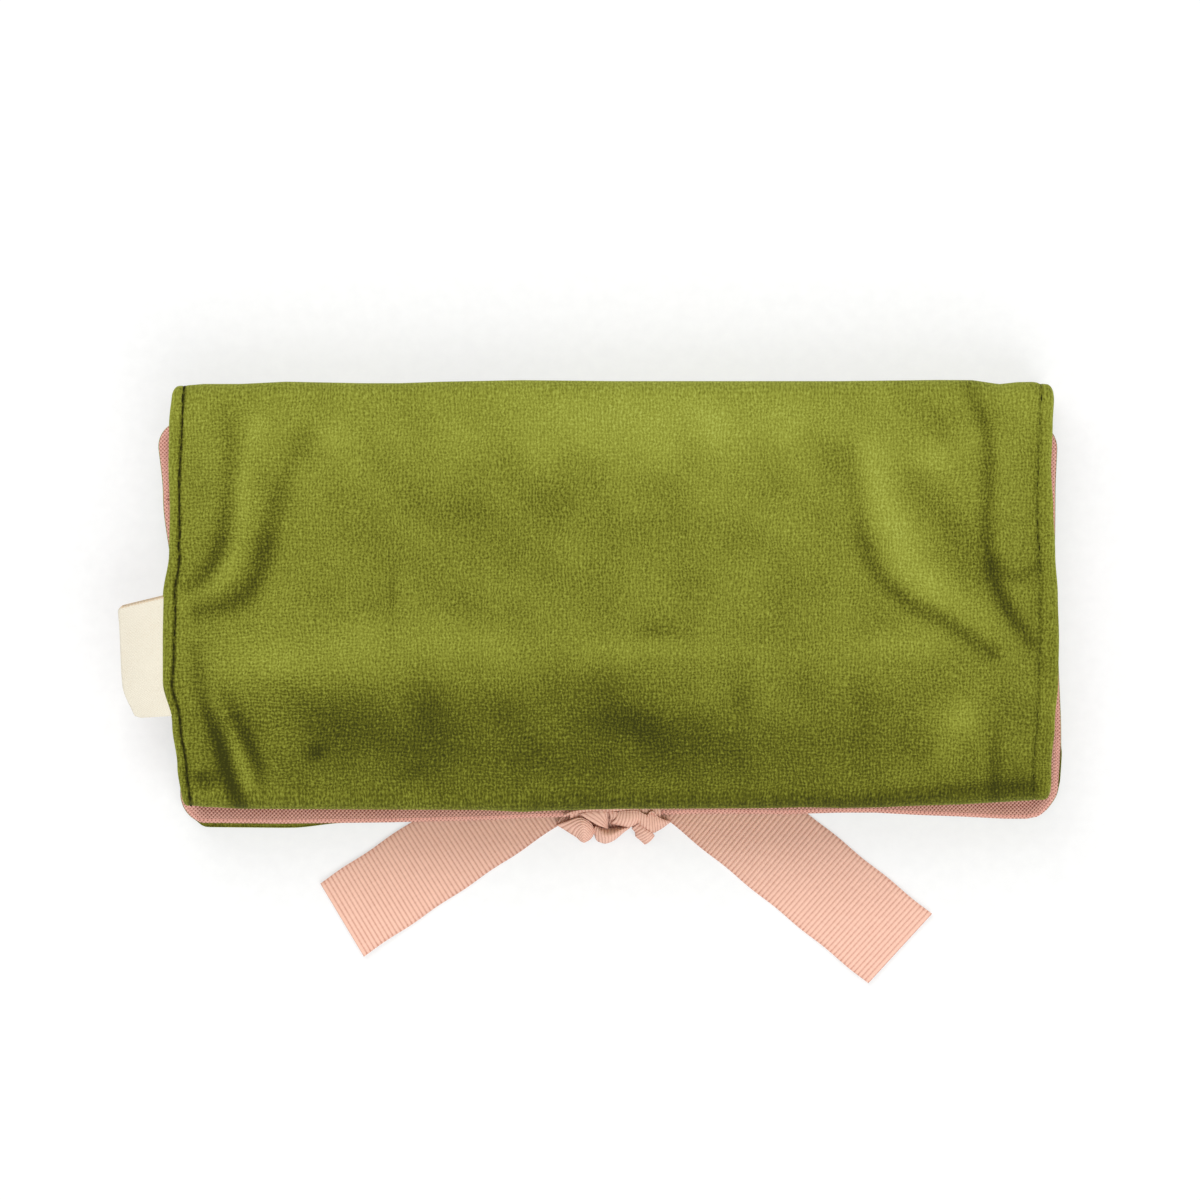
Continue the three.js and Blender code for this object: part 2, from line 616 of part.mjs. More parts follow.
// Everything of one zipped pocket, with its zip at height y
function addZipPocket(panel, low, high, y) {
    const frame = new THREE.Group();
    frame.position.set(0, y, liningFace(panel));
    frame.rotation.x = panel.up > 0 ? Math.PI : 0;
    roll.add(frame);
    add(`${panel.name}_zip_tape_upper`, zipTape(-panel.up), zipNylon, frame);
    add(`${panel.name}_zip_tape_lower`, zipTape(panel.up), zipNylon, frame);
    add(`${panel.name}_zip_stop_left`, endStop(-1), brass, frame);
    add(`${panel.name}_zip_stop_right`, endStop(1), brass, frame);
    const parked = -TEETH_LENGTH / 2 + SLIDER_LENGTH / 2;
    add(`${panel.name}_zip_slider`, zipSlider(), brass, frame).position.x = parked;
    add(`${panel.name}_zip_pull`, zipPull(), ribbon, frame).position.x = parked;

    const inside = rowList(panel, 'lining').filter((row) => row > low && row < high);
    const cloth = overLining(panel, [low, ...inside, high], WINDOW_LIFT, POCKET_CLOTH);
    const levels = [0, WINDOW_LIFT + POCKET_CLOTH + CLEARANCE].map((h) => liningFace(panel) - panel.up * h);
    levels.sort((a, b) => a - b);
    const window = block(
        [-WINDOW_LENGTH / 2, y - WINDOW_WIDTH / 2, levels[0]],
        [WINDOW_LENGTH / 2, y + WINDOW_WIDTH / 2, levels[1]],
    );
    add(`${panel.name}_zip_pocket`, cut(cloth, window), lining);
}
addZipPocket(back, back.low + POCKET_FOOT, back.high - BACK_POCKET_DROP, back.high - BACK_ZIP_DROP);
addZipPocket(inner, inner.low + POCKET_FOOT, inner.high - INNER_POCKET_DROP, inner.high - INNER_ZIP_DROP);

// Ring bar

// It lies in the bay between the inner flap's free edge and the top fold, along the lining
const bayMiddle = (FREE_EDGE_INNER + TOP_FOLD - SPINE) / 2;
const barFrame = new THREE.Group();
barFrame.position.set(0, bayMiddle, liningFace(back));
barFrame.rotation.x = Math.PI;
roll.add(barFrame);

const barRadius = BAR_DIAMETER / 2;
const barProfile = [new THREE.Vector2(0, -BAR_LENGTH / 2)];
const DOME_STEPS = 4;
for (const end of [-1, 1]) {
    for (let k = 1; k <= DOME_STEPS; k++) {
        const turn = ((end < 0 ? k : DOME_STEPS - k + 1) / DOME_STEPS) * (Math.PI / 2);
        const out = end * (BAR_LENGTH / 2 - BAR_DOME + BAR_DOME * Math.cos(turn));
        barProfile.push(new THREE.Vector2(barRadius * Math.sin(turn), out));
    }
}
barProfile.push(new THREE.Vector2(0, BAR_LENGTH / 2));
const bar = new THREE.LatheGeometry(barProfile, ROUND_STEPS)
    .rotateZ(-Math.PI / 2)
    .translate(0, 0, CLEARANCE + barRadius);
add('ring_bar', bar, velvet, barFrame);

const anchorEnd = -BAR_LENGTH / 2 - CLEARANCE;
const anchorHalf = TAB_WIDTH / 2;
add('ring_bar_anchor', raised(
    [
        [anchorEnd - ANCHOR_LENGTH, -anchorHalf], [anchorEnd, -anchorHalf],
        [anchorEnd, anchorHalf], [anchorEnd - ANCHOR_LENGTH, anchorHalf],
    ],
    CLEARANCE, CLEARANCE + ANCHOR_CLOTH,
), velvet, barFrame);

// Press stud: a post on the lining, and a socket riveted through the tab
const revolve = (profile) =>
    new THREE.LatheGeometry(profile.map(([r, h]) => new THREE.Vector2(r, h)), ROUND_STEPS)
        .rotateX(Math.PI / 2);
const studX = BAR_LENGTH / 2 + STUD_PLACE;
const baseTop = CLEARANCE + STUD_BASE;
const nubTop = baseTop + STUD_NUB;
add('stud_post', revolve([
    [0, CLEARANCE], [STUD_BASE_RADIUS, CLEARANCE], [STUD_BASE_RADIUS, baseTop],
    [STUD_NUB_RADIUS, baseTop], [STUD_NUB_RADIUS, nubTop], [0, nubTop],
]), brass, barFrame).position.x = studX;

const socketLow = baseTop + CLEARANCE;
const recessTop = nubTop + CLEARANCE;
const socketTop = recessTop + SOCKET_FLOOR;
const recessRadius = STUD_NUB_RADIUS + CLEARANCE;
const tabLow = socketTop + CLEARANCE;
const tabTop = tabLow + TAB_CLOTH;
const capLow = tabTop + CLEARANCE;
add('stud_cap', revolve([
    [0, recessTop], [recessRadius, recessTop], [recessRadius, socketLow],
    [recessRadius + SOCKET_WALL, socketLow], [recessRadius + SOCKET_WALL, socketTop],
    [RIVET_RADIUS, socketTop], [RIVET_RADIUS, capLow], [CAP_RADIUS, capLow],
    [CAP_RADIUS * CAP_SHOULDER_SHARES[0], capLow + CAP_RISE * CAP_SHOULDER_SHARES[1]],
    [0, capLow + CAP_RISE],
]), brass, barFrame).position.x = studX;

const tabStart = BAR_LENGTH / 2 + CLEARANCE;
const tabHalf = TAB_WIDTH / 2;
const tab = raised(
    [
        [tabStart, -tabHalf], [tabStart + TAB_LENGTH - tabHalf, -tabHalf],
        [tabStart + TAB_LENGTH, -tabHalf / 2], [tabStart + TAB_LENGTH, tabHalf / 2],
        [tabStart + TAB_LENGTH - tabHalf, tabHalf], [tabStart, tabHalf],
    ],
    tabLow, tabTop,
);
const rivetHole = new THREE.CylinderGeometry(
    RIVET_RADIUS + CLEARANCE, RIVET_RADIUS + CLEARANCE, TAB_CLOTH + 2 * CLEARANCE, ROUND_STEPS,
).rotateX(Math.PI / 2).translate(studX, 0, (tabLow + tabTop) / 2);
add('ring_bar_tab', cut(tab, rivetHole), velvet, barFrame);

// Label, folded over at its outer end and held in the left side seam
const labelLow = BOTTOM_FOLD + LABEL_LOW;
const labelRows = LABEL_ROW_SHARES.map((share) => labelLow + share * LABEL_HEIGHT);
const labelReach = (y) => {
    const share = (y - labelLow) / LABEL_HEIGHT;
    return LABEL_REACH_LOW + share * (LABEL_REACH_HIGH - LABEL_REACH_LOW);
};
const seamSide = (y) => leftEdge(back, y) - CLEARANCE;
const labelX = (share, y) => seamSide(y) - (1 - share) * labelReach(y);
const labelMiddle = (x, y) => {
    const out = (seamSide(y) - x) / labelReach(y);
    return middle(back, seamSide(y), y) - LABEL_DROP * out ** 2;
};
const labelHalf = (x, y) => {
    const fromEnd = (x - labelX(0, y)) / LABEL_FOLD;
    return (LABEL_CLOTH / 2) * (LABEL_FOLD_SHARE + (1 - LABEL_FOLD_SHARE) * smooth(fromEnd));
};
add('side_label', slab(
    LABEL_COLUMN_SHARES, labelRows, labelX,
    (x, y) => labelMiddle(x, y) - labelHalf(x, y),
    (x, y) => labelMiddle(x, y) + labelHalf(x, y),
), labelCloth);

// Ribbon

// The stretch sewn to the lining at the free edge
const edgeTop = liningFace(front) - (HALF_ROOM - SEAM_GAP / 2);
const patchRows = [0, SEAM_FLANGE, ANCHOR_PATCH_REACH].map((step) => FREE_EDGE_FRONT + step);
const patchBase = (x, y) => middle(front, x, y) + onPocket(x, y);
add('ribbon_anchor', slab(
    [-1, 0, 1], patchRows,
    (share) => share * (RIBBON_WIDTH / 2),
    patchBase,
    (x, y) => patchBase(x, y) + RIBBON,
), ribbon);

// A crumpled lump of ribbon: a closed form with gathers, flat where it meets the table and cut
// clear of the flap's edge
function lump({ x, out, halfX, halfY, top, gathers, turn, gatherShare }) {
    const ball = new THREE.SphereGeometry(1, LUMP_AROUND, LUMP_UP).rotateX(Math.PI / 2);
    const points = ball.attributes.position;
    const spot = new THREE.Vector3();
    for (let k = 0; k < points.count; k++) {
        spot.fromBufferAttribute(points, k);
        const around = Math.atan2(spot.y, spot.x);
        const swell = 1 + gatherShare * Math.cos(gathers * around + turn) * (1 - spot.z ** 2);
        const square = (v) => Math.sign(v) * Math.abs(v) ** LUMP_SQUARE_SHARE;
        points.setXYZ(
            k,
            x + halfX * square(spot.x) * swell,
            FREE_EDGE_FRONT - out + halfY * square(spot.y) * swell,
            (top / 2) * (1 + square(spot.z) * (1 + gatherShare * Math.cos(2 * around + turn))),
        );
    }
    const edge = edgeTop + POCKET_CLOTH + RIBBON + 3 * CLEARANCE;
    const flap = block(
        [-WIDTH, FREE_EDGE_FRONT - CLEARANCE, -top],
        [WIDTH, FREE_EDGE_FRONT + WIDTH, edge],
    );
    const table = block([-WIDTH, -WIDTH, -WIDTH], [WIDTH, WIDTH, 0]);
    const fold = block([-WIDTH, BOTTOM_FOLD - CLEARANCE, -top], [WIDTH, WIDTH, 2 * top]);
    return cut(ball, flap, table, fold);
}
add('bow_knot', lump(KNOT), ribbon);
add('bow_loop_left', lump(LOOP_LEFT), ribbon);
add('bow_loop_right', lump(LOOP_RIGHT), ribbon);

// A ribbon tail lies on the table from beside the knot, under the flap's edge, to its cut end
function tail(side, start, bend, end, width, phase) {
    const place = ({ x, below }) => new THREE.Vector2(side * x, FREE_EDGE_FRONT - below);
    const route = new THREE.SplineCurve([place(start), place(bend), place(bend).lerp(place(end), 0.5), place(end)]);
    const points = [];
    const faces = [];
    for (let k = 0; k <= TAIL_STEPS; k++) {
        const t = k / TAIL_STEPS;
        const at = route.getPointAt(t);
        const along = route.getTangentAt(t);
        const half = (RIBBON_NECK + (width - RIBBON_NECK) * smooth(t / TAIL_SPREAD_SHARE)) / 2;
        const free = smooth((t - TAIL_LIFT_SHARE) / TAIL_LIFT_SHARE);
        const lift = (TAIL_RIPPLE / 2) * (1 - Math.cos(t * 3 * Math.PI + phase)) * free;
        for (const [across, height] of [[-1, 0], [1, 0], [1, RIBBON], [-1, RIBBON]]) {
            points.push(at.x - across * half * along.y, at.y + across * half * along.x, lift + height);
        }
    }
    for (let k = 0; k < TAIL_STEPS; k++) {
        for (let c = 0; c < 4; c++) {
            const a = 4 * k + c;
            const b = 4 * k + ((c + 1) % 4);
            faces.push(a, b + 4, a + 4, a, b, b + 4);
        }
    }
    const last = 4 * TAIL_STEPS;
    faces.push(0, 2, 1, 0, 3, 2, last, last + 1, last + 2, last, last + 2, last + 3);
    const geometry = new THREE.BufferGeometry();
    geometry.setAttribute('position', new THREE.Float32BufferAttribute(points, 3));
    geometry.setIndex(faces);
    return geometry;
}
add('ribbon_tail_left', tail(-1, TAIL_LEFT_START, TAIL_LEFT_BEND, TAIL_LEFT_END, RIBBON_WIDTH, 0), ribbon);
add('ribbon_tail_right', tail(1, TAIL_RIGHT_START, TAIL_RIGHT_BEND, TAIL_RIGHT_END, TAIL_RIGHT_WIDTH, 1), ribbon);

export default roll;
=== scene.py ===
# A velvet jewellery roll, folded in three and tied with a grosgrain ribbon, lying on its front.
# Metres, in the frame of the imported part: +X along the roll, +Y towards its top fold, +Z up.

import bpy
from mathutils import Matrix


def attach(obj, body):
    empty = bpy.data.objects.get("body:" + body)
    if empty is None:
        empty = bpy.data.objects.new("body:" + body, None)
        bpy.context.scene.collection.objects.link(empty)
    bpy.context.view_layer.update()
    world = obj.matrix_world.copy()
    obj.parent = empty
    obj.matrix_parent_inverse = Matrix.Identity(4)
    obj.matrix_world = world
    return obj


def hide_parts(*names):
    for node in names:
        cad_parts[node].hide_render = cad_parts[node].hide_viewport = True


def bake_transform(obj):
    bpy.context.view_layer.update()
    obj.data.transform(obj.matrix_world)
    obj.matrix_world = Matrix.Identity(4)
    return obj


bl_info = {
    "name": "Velvet Jewellery Roll",
    "version": (1, 0, 0),
    "blender": (4, 5, 0),
    "location": "3D View > Sidebar > Jewellery Roll",
    "description": "Builds the soft pieces, the trimmings and the stage of a folded jewellery roll",
    "category": "Add Mesh",
}

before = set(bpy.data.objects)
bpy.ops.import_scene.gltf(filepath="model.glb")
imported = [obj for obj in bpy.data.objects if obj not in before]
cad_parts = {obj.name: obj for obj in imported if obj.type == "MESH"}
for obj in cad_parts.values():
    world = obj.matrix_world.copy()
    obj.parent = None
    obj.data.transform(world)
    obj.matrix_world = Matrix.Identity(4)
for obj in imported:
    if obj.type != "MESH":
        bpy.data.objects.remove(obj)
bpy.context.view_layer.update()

import copy
import math

import bmesh
import bpy
import numpy as np
from bpy.props import FloatProperty, FloatVectorProperty, PointerProperty
from mathutils import Vector

MM = 0.001

# Cloth layers and folded panels, in millimetres, as the part has them, apart from INNER_FREE
# and FOLD_CORNER
VELVET = 1.2
LINING = 0.7
HALF_ROOM = 2.1
SEAM_HALF = 0.15
LAYER_GAP = 0.15
WIDTH = 233.6
DEPTH = 112.7
HALF_WIDTH = WIDTH / 2
FOLD_Y = DEPTH / 2
FRONT_FREE = -60.65
INNER_FREE = 46.6
FREE_CORNER = 8
FOLD_CORNER = 1.8
SEAM_FLANGE = 4.5
SEAM_RISE = 12
FOLD_RISE = 13
FRONT_MIDDLE = 3.3
INNER_MIDDLE = 11.6
BACK_MIDDLE = 25.0
CURL_WIDTH = 24
CURL_RUNOUT = 30
FOLD_BEND = 3.0
SPINE_MIDDLE = FOLD_Y - VELVET - SEAM_HALF
HINGE_INSET = 1.5
# Distance from a free edge where there is none
FAR = 1000.0

# Profile of the sewn edges
EDGE_ROUND = 2.2
EDGE_SWELL = 0.2
SWELL_HALF = 1.3
STITCH_GROOVE = 0.55
GROOVE_HALF = 0.45
STITCH_LINE = 3.5
# The cloth puckers beside its stitches and waves a little over the padding
PUCKER = 0.16
PUCKER_HALF = 3.2
VELVET_WAVE = 0.22
LINING_WAVE = 0.16
# How far from a fold the padding inside the lining comes up
LINING_RISE = 8
# The front flap's line of stitches lies hidden under the back panel's edge
FRONT_STITCH_LINE = 5.1
# A band of painted shade round the border of the slip pocket, where the back panel's folded edge overhangs it
PAINTED_SHADE_LINE = 3.9
PAINTED_SHADE_HALF = 1.2
PAINTED_SHADE_END = 4.6
SEAM_LIP = 0.14

# The lip of velvet that rolls over the seam, and where the layers inside it start
LIP_CLOTH = 0.2
LIP_TUCK = 0.15
LINING_START = 0.15
PAD_START = 8.5
THREAD_SINK = 0.05

# Pockets: lowest and highest edge and the zip's middle, in Y
ZIP_POCKETS = {"back": (-52.35, 33.65, 17.65), "inner": (-52.35, 27.65, -10.35)}
WINDOW_LENGTH = 183.0
WINDOW_WIDTH = 10.6
WINDOW_SIDE = 21
WINDOW_COLUMNS = 61
WINDOW_LIFT = 1.8
HEM_LINE = 1.8
POCKET_CLOTH = 0.6
POCKET_INSET = 1.4
LAYER_REST = 0.12
SLIP_MOUTH = 7.35
BINDING_WIDTH = 8.0
BINDING_CLOTH = 0.5

# Zips, with heights above the padded lining
TAPE_LENGTH = 190.0
TAPE_LOW = 1.1
ZIP_TAPE = 0.4
TEETH_LENGTH = 176.0
TOOTH_PLACE = 0.85
TOOTH_REACH = 1.2
TOOTH_HEIGHT = 1.2
SLIDER_LENGTH = 10.0
PULL_NECK = 2.3
PULL_LENGTH = 24.0
PULL_WIDTH = 4.2
PULL_TOP = 4.0

# Ring bar and press stud
BAR_LENGTH = 168.0
BAR_DIAMETER = 9.4
BAR_DOME = 3.4
BAR_Y = 48.95
BAR_Z = 17.2
BAR_FACE = 22.2
ANCHOR_LENGTH = 10.0
TAB_LENGTH = 19.0
TAB_WIDTH = 8.6
# About its width on average, with its rounded end
TAB_CLOTH = 0.6
TAB_HEIGHT = 3.4

# Label
LABEL_LOW = -31.45
LABEL_HEIGHT = 31.4
LABEL_REACH_LOW = 9.6
LABEL_REACH_HIGH = 12.0
LABEL_INSIDE = 1.2
LABEL_DROP = 2.4
LABEL_CORNER = 1.6
LABEL_CLOTH = 0.3
LABEL_FOLD_RADIUS = 0.33
# How far its edges slant down at its fold, and how far its back layer peeps out above
LABEL_SLANT_LOW = 0.7
LABEL_SLANT_HIGH = 2.9
LABEL_OFFSET = 0.45

# Ribbon
RIBBON_CLOTH = 0.5
RIBBON_WIDTH = 22.6
SELVEDGE = 1.1
RIB_STEP = 0.198
# How far the knot draws the ribs of the bow together
BOW_DRAWN = 0.76
ANCHOR_REACH = 9.0
TAIL_LIFT = 0.45
TAIL_RIPPLE = 0.45
# How far up the tails reach under the flap, in Y, and how far back under the bow
TAIL_HIDDEN = -50.0
TAIL_BACK = 4.0
TAILS = {
    "ribbon_tail_left": {
        "knot": (-14.6, -61.2), "end": (-66.1, -95.8), "width": 22.6, "skew": -1.2, "phase": 0},
    "ribbon_tail_right": {
        "knot": (15.7, -60.5), "end": (68.0, -103.0), "width": 25.0, "skew": 1.5, "phase": 1},
}

# The bow's crumples. Each is a row of rib lines across the ribbon, and each rib line a row of
# points: X, Y and height in millimetres.
BOW_CLOTH = 0.4
BOW = {
    "bow_knot": [
        [
            [(-13.05, -58.26, 6.2), (-12.85, -58.66, 5.6)],
            [(-10.9, -57.31, 7.2), (-10.76, -57.91, 6.6)],
            [(-8.04, -56.77, 8), (-7.98, -57.4, 7.6)],
            [(-4.6, -56.6, 8.3), (-4.6, -57.23, 8)],
            [(-1.17, -56.57, 8.4), (-1.17, -57.17, 8.1)],
            [(2.56, -56.4, 8.5), (2.56, -57, 8.2)],
            [(5.7, -56.31, 8.5), (5.7, -56.94, 8.2)],
            [(7.28, -56.71, 8.4), (6.85, -57.17, 8.1)],
        ],
        [
            [(-8.75, -57.88, 7.5), (-5.75, -59.75, 7), (-3.46, -61.03, 6), (-1.11, -61.86, 4.8)],
            [(-6.32, -57.34, 8), (-4.32, -58.6, 7.6), (-2.6, -60.03, 6.6), (-1.11, -61.69, 5)],
            [(-4.03, -57.11, 8.2), (-3.03, -58.17, 7.8), (-2.03, -59.6, 6.8), (-1.17, -61.46, 5.2)],
            [(-1.68, -56.88, 8.2), (-1.51, -58.03, 7.6), (-1.4, -59.46, 6.6), (-1.22, -61.18, 5.2)],
        ],
        [
            [(-1.05, -57.17, 7.4), (-0.65, -58.6, 6.4), (-0.88, -60.03, 5.2)],
            [(-0.02, -57.23, 7.8), (0.15, -58.6, 6.9), (-0.39, -59.92, 5.5)],
            [(1.07, -57.34, 8), (0.84, -58.54, 7.2), (0.12, -59.63, 5.8)],
            [(1.98, -57.68, 7.8), (1.55, -58.46, 7.2), (0.84, -59.32, 6.2)],
        ],
        [
            [(1.64, -57.17, 8), (0.84, -59.03, 7.2), (-0.45, -60.38, 6)],
            [(2.98, -57.05, 8.4), (2.56, -59.32, 7.6), (1.98, -60.95, 5.6)],
            [(4.42, -56.94, 8.6), (4.27, -59.17, 8), (3.41, -61.23, 5.2)],
            [(5.7, -56.88, 8.6), (5.85, -59.17, 7.8), (4.85, -61.38, 5)],
            [(6.99, -57.05, 8.4), (7.19, -58.6, 7.8), (6.62, -60.38, 6.2)],
        ],
        [
            [(-4.43, -60.83, 4.6), (-4.6, -61.18, 5), (-5.03, -62.04, 3.6), (-4.83, -63.47, 1.2)],
            [(-3.69, -61.12, 4.8), (-3.89, -61.75, 5.6), (-4.17, -63.04, 4.6), (-4.17, -65.04, 0.8)],
            [(-3.11, -61.46, 4.9), (-3.23, -62.55, 5.8), (-3.03, -63.9, 5), (-2.74, -65.7, 0.6)],
            [(-1.74, -61.75, 4.8), (-1.74, -63.18, 6), (-1.45, -64.33, 5.2), (-1.6, -65.82, 0.6)],
            [(0.12, -61.64, 4.6), (0.04, -63.01, 6), (0.27, -63.9, 5.2), (0.12, -65.19, 0.8)],
            [(1.7, -61.41, 4.3), (1.7, -62.44, 5.6), (1.84, -63.18, 4.6), (1.55, -64.18, 1)],
            [(3.13, -61.26, 4), (3.13, -61.81, 5), (3.13, -62.27, 4), (2.84, -63.04, 1.4)],
            [(4.7, -61.23, 3.4), (4.56, -61.46, 3.8), (4.42, -61.69, 3), (4.13, -62.04, 1.8)],
        ],
        [
            [(-11.6, -57.17, 3.2), (-7.6, -59.8, 3), (-5.4, -62.5, 2.6)],
            [(-4.4, -56.88, 3.4), (-2.4, -59.46, 3.2), (-1.2, -62.04, 2.6)],
            [(2.84, -56.88, 3.4), (3.41, -59.17, 3.2), (3.99, -61.46, 2.4)],
            [(9.14, -57.17, 3.2), (8.57, -59.46, 3), (7.71, -61.46, 2.2)],
        ],
    ],
    "bow_loop_left": [
        [
            [(-14.91, -60.89, 2), (-12.33, -59.89, 4.5), (-8.9, -58.74, 6.5), (-6.32, -59.6, 6),
             (-4.89, -61.46, 4.5)],
            [(-13.19, -61.89, 1.8), (-11.19, -60.6, 4.8), (-8.32, -59.32, 6.8), (-6.03, -60.6, 6),
             (-4.83, -62.32, 4)],
            [(-11.19, -63.18, 1.6), (-10.04, -61.46, 4.6), (-8.04, -60.32, 6.6), (-6.18, -61.46, 5.6),
             (-4.95, -63.24, 3.2)],
            [(-9.61, -64.18, 1.2), (-8.9, -62.61, 3.8), (-7.75, -61.61, 5.6), (-6.38, -62.61, 4.6),
             (-5.4, -64.18, 2.2)],
            [(-8.61, -65.13, 0.6), (-8.09, -64.61, 1.8), (-7.61, -64.04, 2.6), (-7.04, -64.61, 1.8),
             (-6.18, -64.96, 0.9)],
            [(-8.04, -65.47, 0.4), (-7.81, -65.53, 0.5), (-7.61, -65.59, 0.5), (-7.32, -65.53, 0.5),
             (-6.89, -65.36, 0.4)],
        ],
        [
            [(-14.91, -60.75, 1.6), (-14.28, -59.6, 2.2), (-13.19, -58.31, 2.6)],
            [(-12.33, -60.6, 1.8), (-11.76, -59.17, 2.4), (-10.9, -57.74, 2.8)],
            [(-9.47, -60.03, 2), (-8.9, -58.6, 2.6), (-8.32, -57.46, 3)],
            [(-5.75, -60.6, 1.8), (-5.75, -59.17, 2.4), (-5.75, -57.74, 2.8)],
        ],
    ],
    "bow_loop_right": [
        [
            [(5.13, -61.81, 3), (5.99, -60.89, 4.6), (6.85, -60.15, 5.6)],
            [(5.93, -62.75, 2.2), (7.14, -61.75, 5), (8, -61.18, 6)],
            [(6.13, -63.9, 1.4), (8, -62.89, 4.8), (9.2, -62.15, 5.8)],
            [(7.28, -64.9, 0.9), (9, -63.9, 4), (10.43, -62.89, 5.2)],
            [(8.57, -66.1, 0.6), (9.86, -65.19, 2.2), (11.2, -63.75, 3.8)],
        ],
        [
            [(6.85, -56.88, 8.6), (6.85, -58.6, 7.8), (6.56, -59.89, 6.8)],
            [(8.28, -57.74, 8.4), (8.14, -59.46, 7.6), (8, -61.12, 6.6)],
            [(9.43, -58.03, 8), (9.43, -60.03, 7.2), (9.28, -61.98, 5.9)],
            [(10.43, -57.23, 7.6), (10.57, -60.03, 6.8), (10.86, -62.89, 4.8)],
            [(11.57, -58.17, 7), (11.86, -60.32, 6), (12, -62.47, 3)],
            [(13.15, -59.17, 6), (13.43, -60.32, 5), (13.72, -61.46, 2.2)],
            [(14.44, -59.6, 4.8), (14.58, -60.09, 4.2), (14.72, -60.66, 2)],
            [(15.38, -59.97, 3.6), (15.38, -60.09, 3.2), (15.32, -60.26, 2.2)],
        ],
        [
            [(9.2, -58.6, 8.2), (9.6, -58.72, 8)],
            [(9.71, -57.51, 8.4), (10, -57.86, 8.2)],
            [(10.63, -57.05, 8.4), (10.63, -57.51, 8.2)],
            [(11.43, -57.68, 8), (11.09, -57.97, 7.9)],
            [(11.83, -58.66, 7.4), (11.43, -58.72, 7.4)],
        ],
        [
            [(5.6, -55.7, 7.4), (5.9, -57.2, 7.2), (6.2, -58.8, 6.4)],
            [(8.0, -55.6, 7.6), (8.2, -57.2, 7.4), (8.4, -58.8, 6.6)],
            [(10.4, -55.7, 7.2), (10.6, -57.1, 7.0), (10.8, -58.6, 6.2)],
            [(12.6, -56.2, 6.2), (12.7, -57.3, 6.0), (12.8, -58.6, 5.4)],
        ],
        [
            [(9.14, -57.17, 2.4), (9.71, -58.89, 2.6), (10.29, -60.89, 2)],
            [(12, -57.17, 2.2), (12.29, -58.6, 2.2), (12.58, -60.32, 1.8)],
            [(15.15, -58.03, 2), (15.15, -58.89, 1.8), (15.15, -59.89, 1.6)],
        ],
    ],
}

# Stage. The floor's glow is the share of plain white that it shows to the camera.
FLOOR_SIZE = 6.0
FLOOR_GLOW = 0.6
SKY_LIGHT = 0.55
LAMPS = [
    ("key", (-0.5, 1.1, 1.5), 1.2, 17.0),
    ("fill", (0.5, -1.0, 1.4), 1.4, 16.5),
]
CAMERA_LENS = 300.0
CAMERA_SENSOR = 36.0
CAMERA_X = -0.0033
CAMERA_Y = -0.00106
CAMERA_FOCUS = 0.02
FRAME_WIDTH = 0.3168

PANELS = {
    "front": {
        "low": FRONT_FREE, "high": FOLD_Y, "free": FRONT_FREE, "curl": 1.0,
        "left": [-0.018, -0.0165, -0.011, -0.009, -0.008, -0.0043],
        "right": [0.0125, 0.0204, 0.014, 0.004, -0.003, -0.0035],
        "stitch_left": [FRONT_STITCH_LINE, FRONT_STITCH_LINE, 4.6, 4.2, 3.8, 3.45],
        "stitch_right": [FRONT_STITCH_LINE, FRONT_STITCH_LINE, 4.6, 4.2, 3.8, 3.55],
    },
    "back": {
        "low": -FOLD_Y, "high": FOLD_Y, "free": None, "curl": 3.0,
        "left": [
            -0.0265, -0.0179, -0.0056, 0.0171, 0.0171, 0.0155, 0.0017, 0.0, 0.0026, 0.0009, -0.0043],
        "right": [
            -0.0103, -0.0098, -0.0013, 0.0068, 0.0086, 0.006, 0.0, -0.0043, -0.0094, -0.0065, -0.0035],
        "stitch_left": [2.5, 2.4, 2.15, 2.5, 3.15, 3.35, 3.1, 2.6, 2.6, 3.15, 3.45, 3.45],
        "stitch_right": [4.6, 4.7, 4.75, 4.9, 5.1, 4.85, 4.45, 4.35, 4.15, 3.45, 3.35, 3.55],
    },
    "inner": {
        "low": -FOLD_Y, "high": INNER_FREE, "free": INNER_FREE, "curl": 3.0,
        "left": [-0.0265, -0.0225, -0.0135, -0.0005, 0.018, 0.033],
        "right": [-0.0103, -0.008, -0.0034, 0.0017, 0.0034, 0.0094],
        "stitch_left": [2.5, 3.0, STITCH_LINE, STITCH_LINE, STITCH_LINE, STITCH_LINE],
        "stitch_right": [4.6, 4.0, STITCH_LINE, STITCH_LINE, STITCH_LINE, STITCH_LINE],
    },
}

# How far the long edges leave their straight lines in Y, at places along X
TOP_EDGE = [
    (-116, -1.1), (-112, -0.8), (-108, -0.4), (-98, -0.4), (-86, 0.2), (-66, -0.2), (-56, -0.2), (-45, 0.2),
    (-24, 0.6), (0, 0.35), (60, 0.35), (86, 0.65), (95, 0.6), (102, -0.45), (107, 0.1), (111, 0.1),
    (114, -0.4), (116, -0.5),
]
BOTTOM_EDGE = [
    (-116, 0.9), (-110, 0.9), (-98, 0.2), (-60, 0.0), (-35, -0.1), (-24, -0.6), (-14, -0.2), (0, 0.15),
    (40, 0.35), (50, 0.6), (60, 0.4), (70, 0.55), (80, 1.0), (92, 1.35), (102, 1.95), (111, 2.5), (116, 2.6),
]
FRONT_EDGE = [
    (-117, 0.1), (-98, -0.1), (-88, -0.2), (-60, 0.1), (-48, 0.4), (-32, 0.8), (-22, 1.3), (22, 2.4),
    (30, 2.45), (46, 2.3), (60, 2.7), (70, 2.7), (81, 2.1), (92, 1.7), (104, 1.1), (110, 1.1), (112, 1.5),
    (114, 1.75), (117, 2.6),
]
EDGE_REACH = 14.0
FRONT_EDGE_REACH = 26.0
